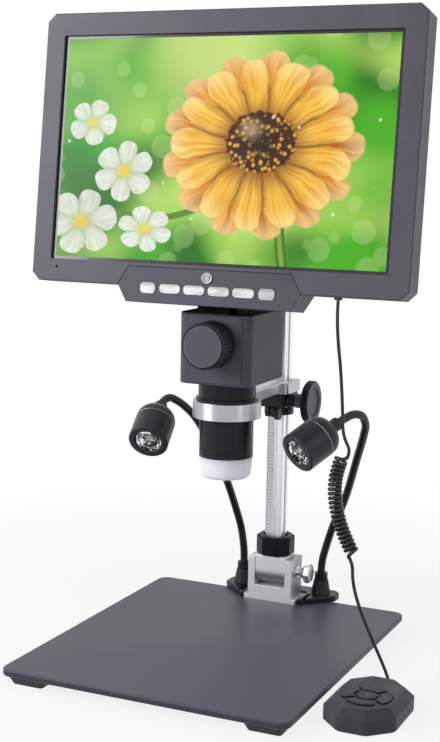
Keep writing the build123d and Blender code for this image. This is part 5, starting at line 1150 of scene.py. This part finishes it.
class MICROSCOPE_OT_lamps(bpy.types.Operator):
    """Finish the two goosenecks and lamp heads, and set a faceted reflector in each"""

    bl_idname = "microscope.lamps"
    bl_label = "Lamps"

    def execute(self, context):
        tones = context.scene.microscope_colours
        sleeve = soft_rubber("neck_sleeve", shade(tones.black, 1.1), rough=0.34, gloss=0.25)
        skin = shade(tones.black, 2.5)
        shell = moulded_plastic("lamp_black_anodised", skin, 0.25, 0.006, 0.36, 0.4)
        chip = light_chip("lamp_chip")
        looks = {
            "reflector": ("button_ring", faceted_mirror("reflector_chrome", tones.chrome)),
            "emitter": ("led_white", emitter_puck("lamp_emitter")),
            "dome": ("lamp_glass", clear_glass("lamp_lens_glass", (0.97, 0.98, 1.0))),
            "band": ("button_ring", polished_metal("seam_bright_ring", shade(tones.chrome, 0.4), 0.3)),
        }
        profiles = lamp_profiles()
        for side in LAMP_ENDS:
            dress(sleeve, f"gooseneck_{side}")
            dress(shell, f"lamp_{side}_shell")
            dress(chip, f"lamp_{side}_led")
            pieces = {}
            for part, (profile, around) in profiles.items():
                slot, material = looks[part]
                mesh = ring_mesh(profile, around)
                smooth = part != "reflector"
                pieces[part] = new_piece(f"lamp_{side}_{part}", mesh, material, smooth)
            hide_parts(f"lamp_{side}_lens")
            for piece in pieces.values():
                piece.matrix_world = lamp_frame(side)
                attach(piece, f"lamp_{side}")
        return {"FINISHED"}


class MICROSCOPE_OT_remote(bpy.types.Operator):
    """Finish the remote and its five keys, with plain marks on the keys"""

    bl_idname = "microscope.remote"
    bl_label = "Remote"

    def execute(self, context):
        tones = context.scene.microscope_colours
        tone = tones.remote
        dress(moulded_plastic("remote_plastic", tone, 0.4, 0.014, 0.48, 0.6), "remote_base", "remote_top")
        keys = [f"remote_key_{name}" for name in ("centre", "up", "down", "left", "right")]
        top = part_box("remote_key_centre")[1].z / MM
        # the keys' sides are painted black as shade
        dress(soft_rubber("remote_key_rubber", shade(tone, 0.75), top=top), *keys)
        ink = moulded_plastic("mark_grey_ink", shade(tone, 2.6), 0.2, 0.002, 0.5, 0.02)
        arrow = [(-1.5, -1.3), (1.5, 0.0), (-1.5, 1.3)]
        bar = oblong(-1.6, -0.22, 1.6, 0.22)
        upper_post = oblong(-0.22, 0.3, 0.22, 1.6)
        lower_post = oblong(-0.22, -1.6, 0.22, -0.3)
        marks = {
            "right": ([arrow], (PAD_MIDDLE, 0)),
            "left": ([[(-x, y) for x, y in arrow][::-1]], (-PAD_MIDDLE, 0)),
            "up": ([bar, upper_post, lower_post], (0, PAD_MIDDLE)),
            "down": ([bar], (0, -PAD_MIDDLE)),
            "centre": ([circle(1.5, 24)], (0, 0)),
        }
        for name, (outlines, (right, up)) in marks.items():
            mesh = slab_mesh(outlines, MARK_HEIGHT, bevel=0.02)
            mark = new_piece(f"key_mark_{name}", mesh, ink, smooth=False)
            mark.matrix_world = Matrix.Translation((PAD + Vector((right, up, -MARK_SINK))) * MM)
            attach(mark, f"key_{name}")
        return {"FINISHED"}


class MICROSCOPE_OT_camera(bpy.types.Operator):
    """Place the camera that frames the whole microscope"""

    bl_idname = "microscope.camera"
    bl_label = "Camera"

    def execute(self, context):
        studio = context.scene.microscope_studio
        cos_up, sin_up = math.cos(studio.elevation), math.sin(studio.elevation)
        away = Vector((math.sin(studio.azimuth) * cos_up, -math.cos(studio.azimuth) * cos_up, sin_up))
        flat = Vector((math.cos(studio.azimuth), math.sin(studio.azimuth), 0))
        up = away.cross(flat)
        right = flat * math.cos(studio.roll) + up * math.sin(studio.roll)
        upright = up * math.cos(studio.roll) - flat * math.sin(studio.roll)
        lens = bpy.data.cameras.new("studio_camera")
        lens.sensor_width = 36.0
        lens.lens = CAMERA_LENS
        lens.shift_x, lens.shift_y = CAMERA_SHIFT
        lens.clip_start, lens.clip_end = 0.01, 50.0
        camera = link("studio_camera", lens)
        where = CAMERA_TARGET + away * studio.distance
        camera.matrix_world = placed(where, right, upright, away)
        context.scene.camera = camera
        return {"FINISHED"}


class MICROSCOPE_OT_studio(bpy.types.Operator):
    """Build the pale floor, the even light from all round and two soft lamps"""

    bl_idname = "microscope.studio"
    bl_label = "Studio"

    def execute(self, context):
        studio = context.scene.microscope_studio
        self.world(context, studio)
        self.floor()
        self.soft_lamp("key_lamp", studio.key_light, KEY_LAMP_PLACE, width=0.5, height=0.7)
        self.soft_lamp("side_lamp", studio.fill_light, SIDE_LAMP_PLACE, width=0.16, height=0.8)
        context.scene.view_settings.view_transform = "Standard"
        return {"FINISHED"}

    def world(self, context, studio):
        """Even light on the object, and plain white to the eye."""
        context.scene.world = bpy.data.worlds.new("studio_world")
        w = Nodes(context.scene.world, "ShaderNodeOutputWorld")
        even = {"Color": (0.96, 0.97, 1.0, 1), "Strength": studio.sky}
        light = w.node("ShaderNodeBackground", {}, even)
        white = w.node("ShaderNodeBackground", {}, {"Color": (1, 1, 1, 1), "Strength": 1.0})
        w.end(w.node("ShaderNodeMixShader", {}, {0: w.seen(), 1: light, 2: white}))

    def floor(self):
        """White paper that shows white and still takes the object's soft shadow."""
        f = Finish("floor_white_paper")
        fibre = f.noise(400.0, 3.0)
        tone = f.mix(fibre.ramp(0.3, 0.7), (0.90, 0.90, 0.90), (0.94, 0.94, 0.94))
        paper = {"Base Color": tone, "Roughness": 0.9, "Specular IOR Level": 0.0}
        matt = f.node("ShaderNodeBsdfPrincipled", {}, paper)
        glow = f.node("ShaderNodeEmission", {}, {"Color": (1, 1, 1, 1), "Strength": 1.0})
        away = distance(*f.parts()[:2])
        share = f.seen() * away.ramp(0.16, 0.55, 0.84, 1.0)
        f.end(f.node("ShaderNodeMixShader", {}, {0: share, 1: matt, 2: glow}))
        corners = oblong(-FLOOR_HALF, -FLOOR_HALF, FLOOR_HALF, FLOOR_HALF)
        mesh = bpy.data.meshes.new("floor")
        mesh.from_pydata([(x, y, 0) for x, y in corners], [], [(0, 1, 2, 3)])
        mesh.materials.append(f.material)
        link("floor", mesh)

    def soft_lamp(self, name, power, where, width, height):
        """A soft oblong lamp that looks at the middle of the stand."""
        light = bpy.data.lights.new(name, "AREA")
        light.energy = power
        light.shape = "RECTANGLE"
        light.size, light.size_y = width, height
        way = LAMP_TARGET - where
        turned = way.to_track_quat("-Z", "Y").to_matrix().to_4x4()
        link(name, light).matrix_world = Matrix.Translation(where) @ turned


STEPS = (
    MICROSCOPE_OT_camera,
    MICROSCOPE_OT_cord,
    MICROSCOPE_OT_stand,
    MICROSCOPE_OT_column,
    MICROSCOPE_OT_carriage,
    MICROSCOPE_OT_camera_head,
    MICROSCOPE_OT_monitor,
    MICROSCOPE_OT_buttons,
    MICROSCOPE_OT_lamps,
    MICROSCOPE_OT_remote,
    MICROSCOPE_OT_studio,
)
GROUPS = {
    "microscope_colours": MicroscopeColours,
    "microscope_cord": MicroscopeCord,
    "microscope_studio": MicroscopeStudio,
}


class MICROSCOPE_PT_panel(bpy.types.Panel):
    """Lists the steps and values of the microscope"""

    bl_idname = "MICROSCOPE_PT_panel"
    bl_label = "Microscope"
    bl_space_type = "VIEW_3D"
    bl_region_type = "UI"
    bl_category = "Microscope"

    def draw(self, context):
        for group in GROUPS:
            box = self.layout.box()
            values = getattr(context.scene, group)
            for key in values.__annotations__:
                box.prop(values, key)
        for step in STEPS:
            self.layout.operator(step.bl_idname)


def register():
    for group in GROUPS.values():
        bpy.utils.register_class(group)
    for step in (*STEPS, MICROSCOPE_PT_panel):
        bpy.utils.register_class(step)
    for name, group in GROUPS.items():
        setattr(bpy.types.Scene, name, PointerProperty(type=group))


def unregister():
    for name in GROUPS:
        delattr(bpy.types.Scene, name)
    for step in (*STEPS, MICROSCOPE_PT_panel):
        bpy.utils.unregister_class(step)
    for group in GROUPS.values():
        bpy.utils.unregister_class(group)


def main():
    register()
    for step in STEPS:
        group, name = step.bl_idname.split(".")
        getattr(getattr(bpy.ops, group), name)()


if __name__ == "__main__":
    main()
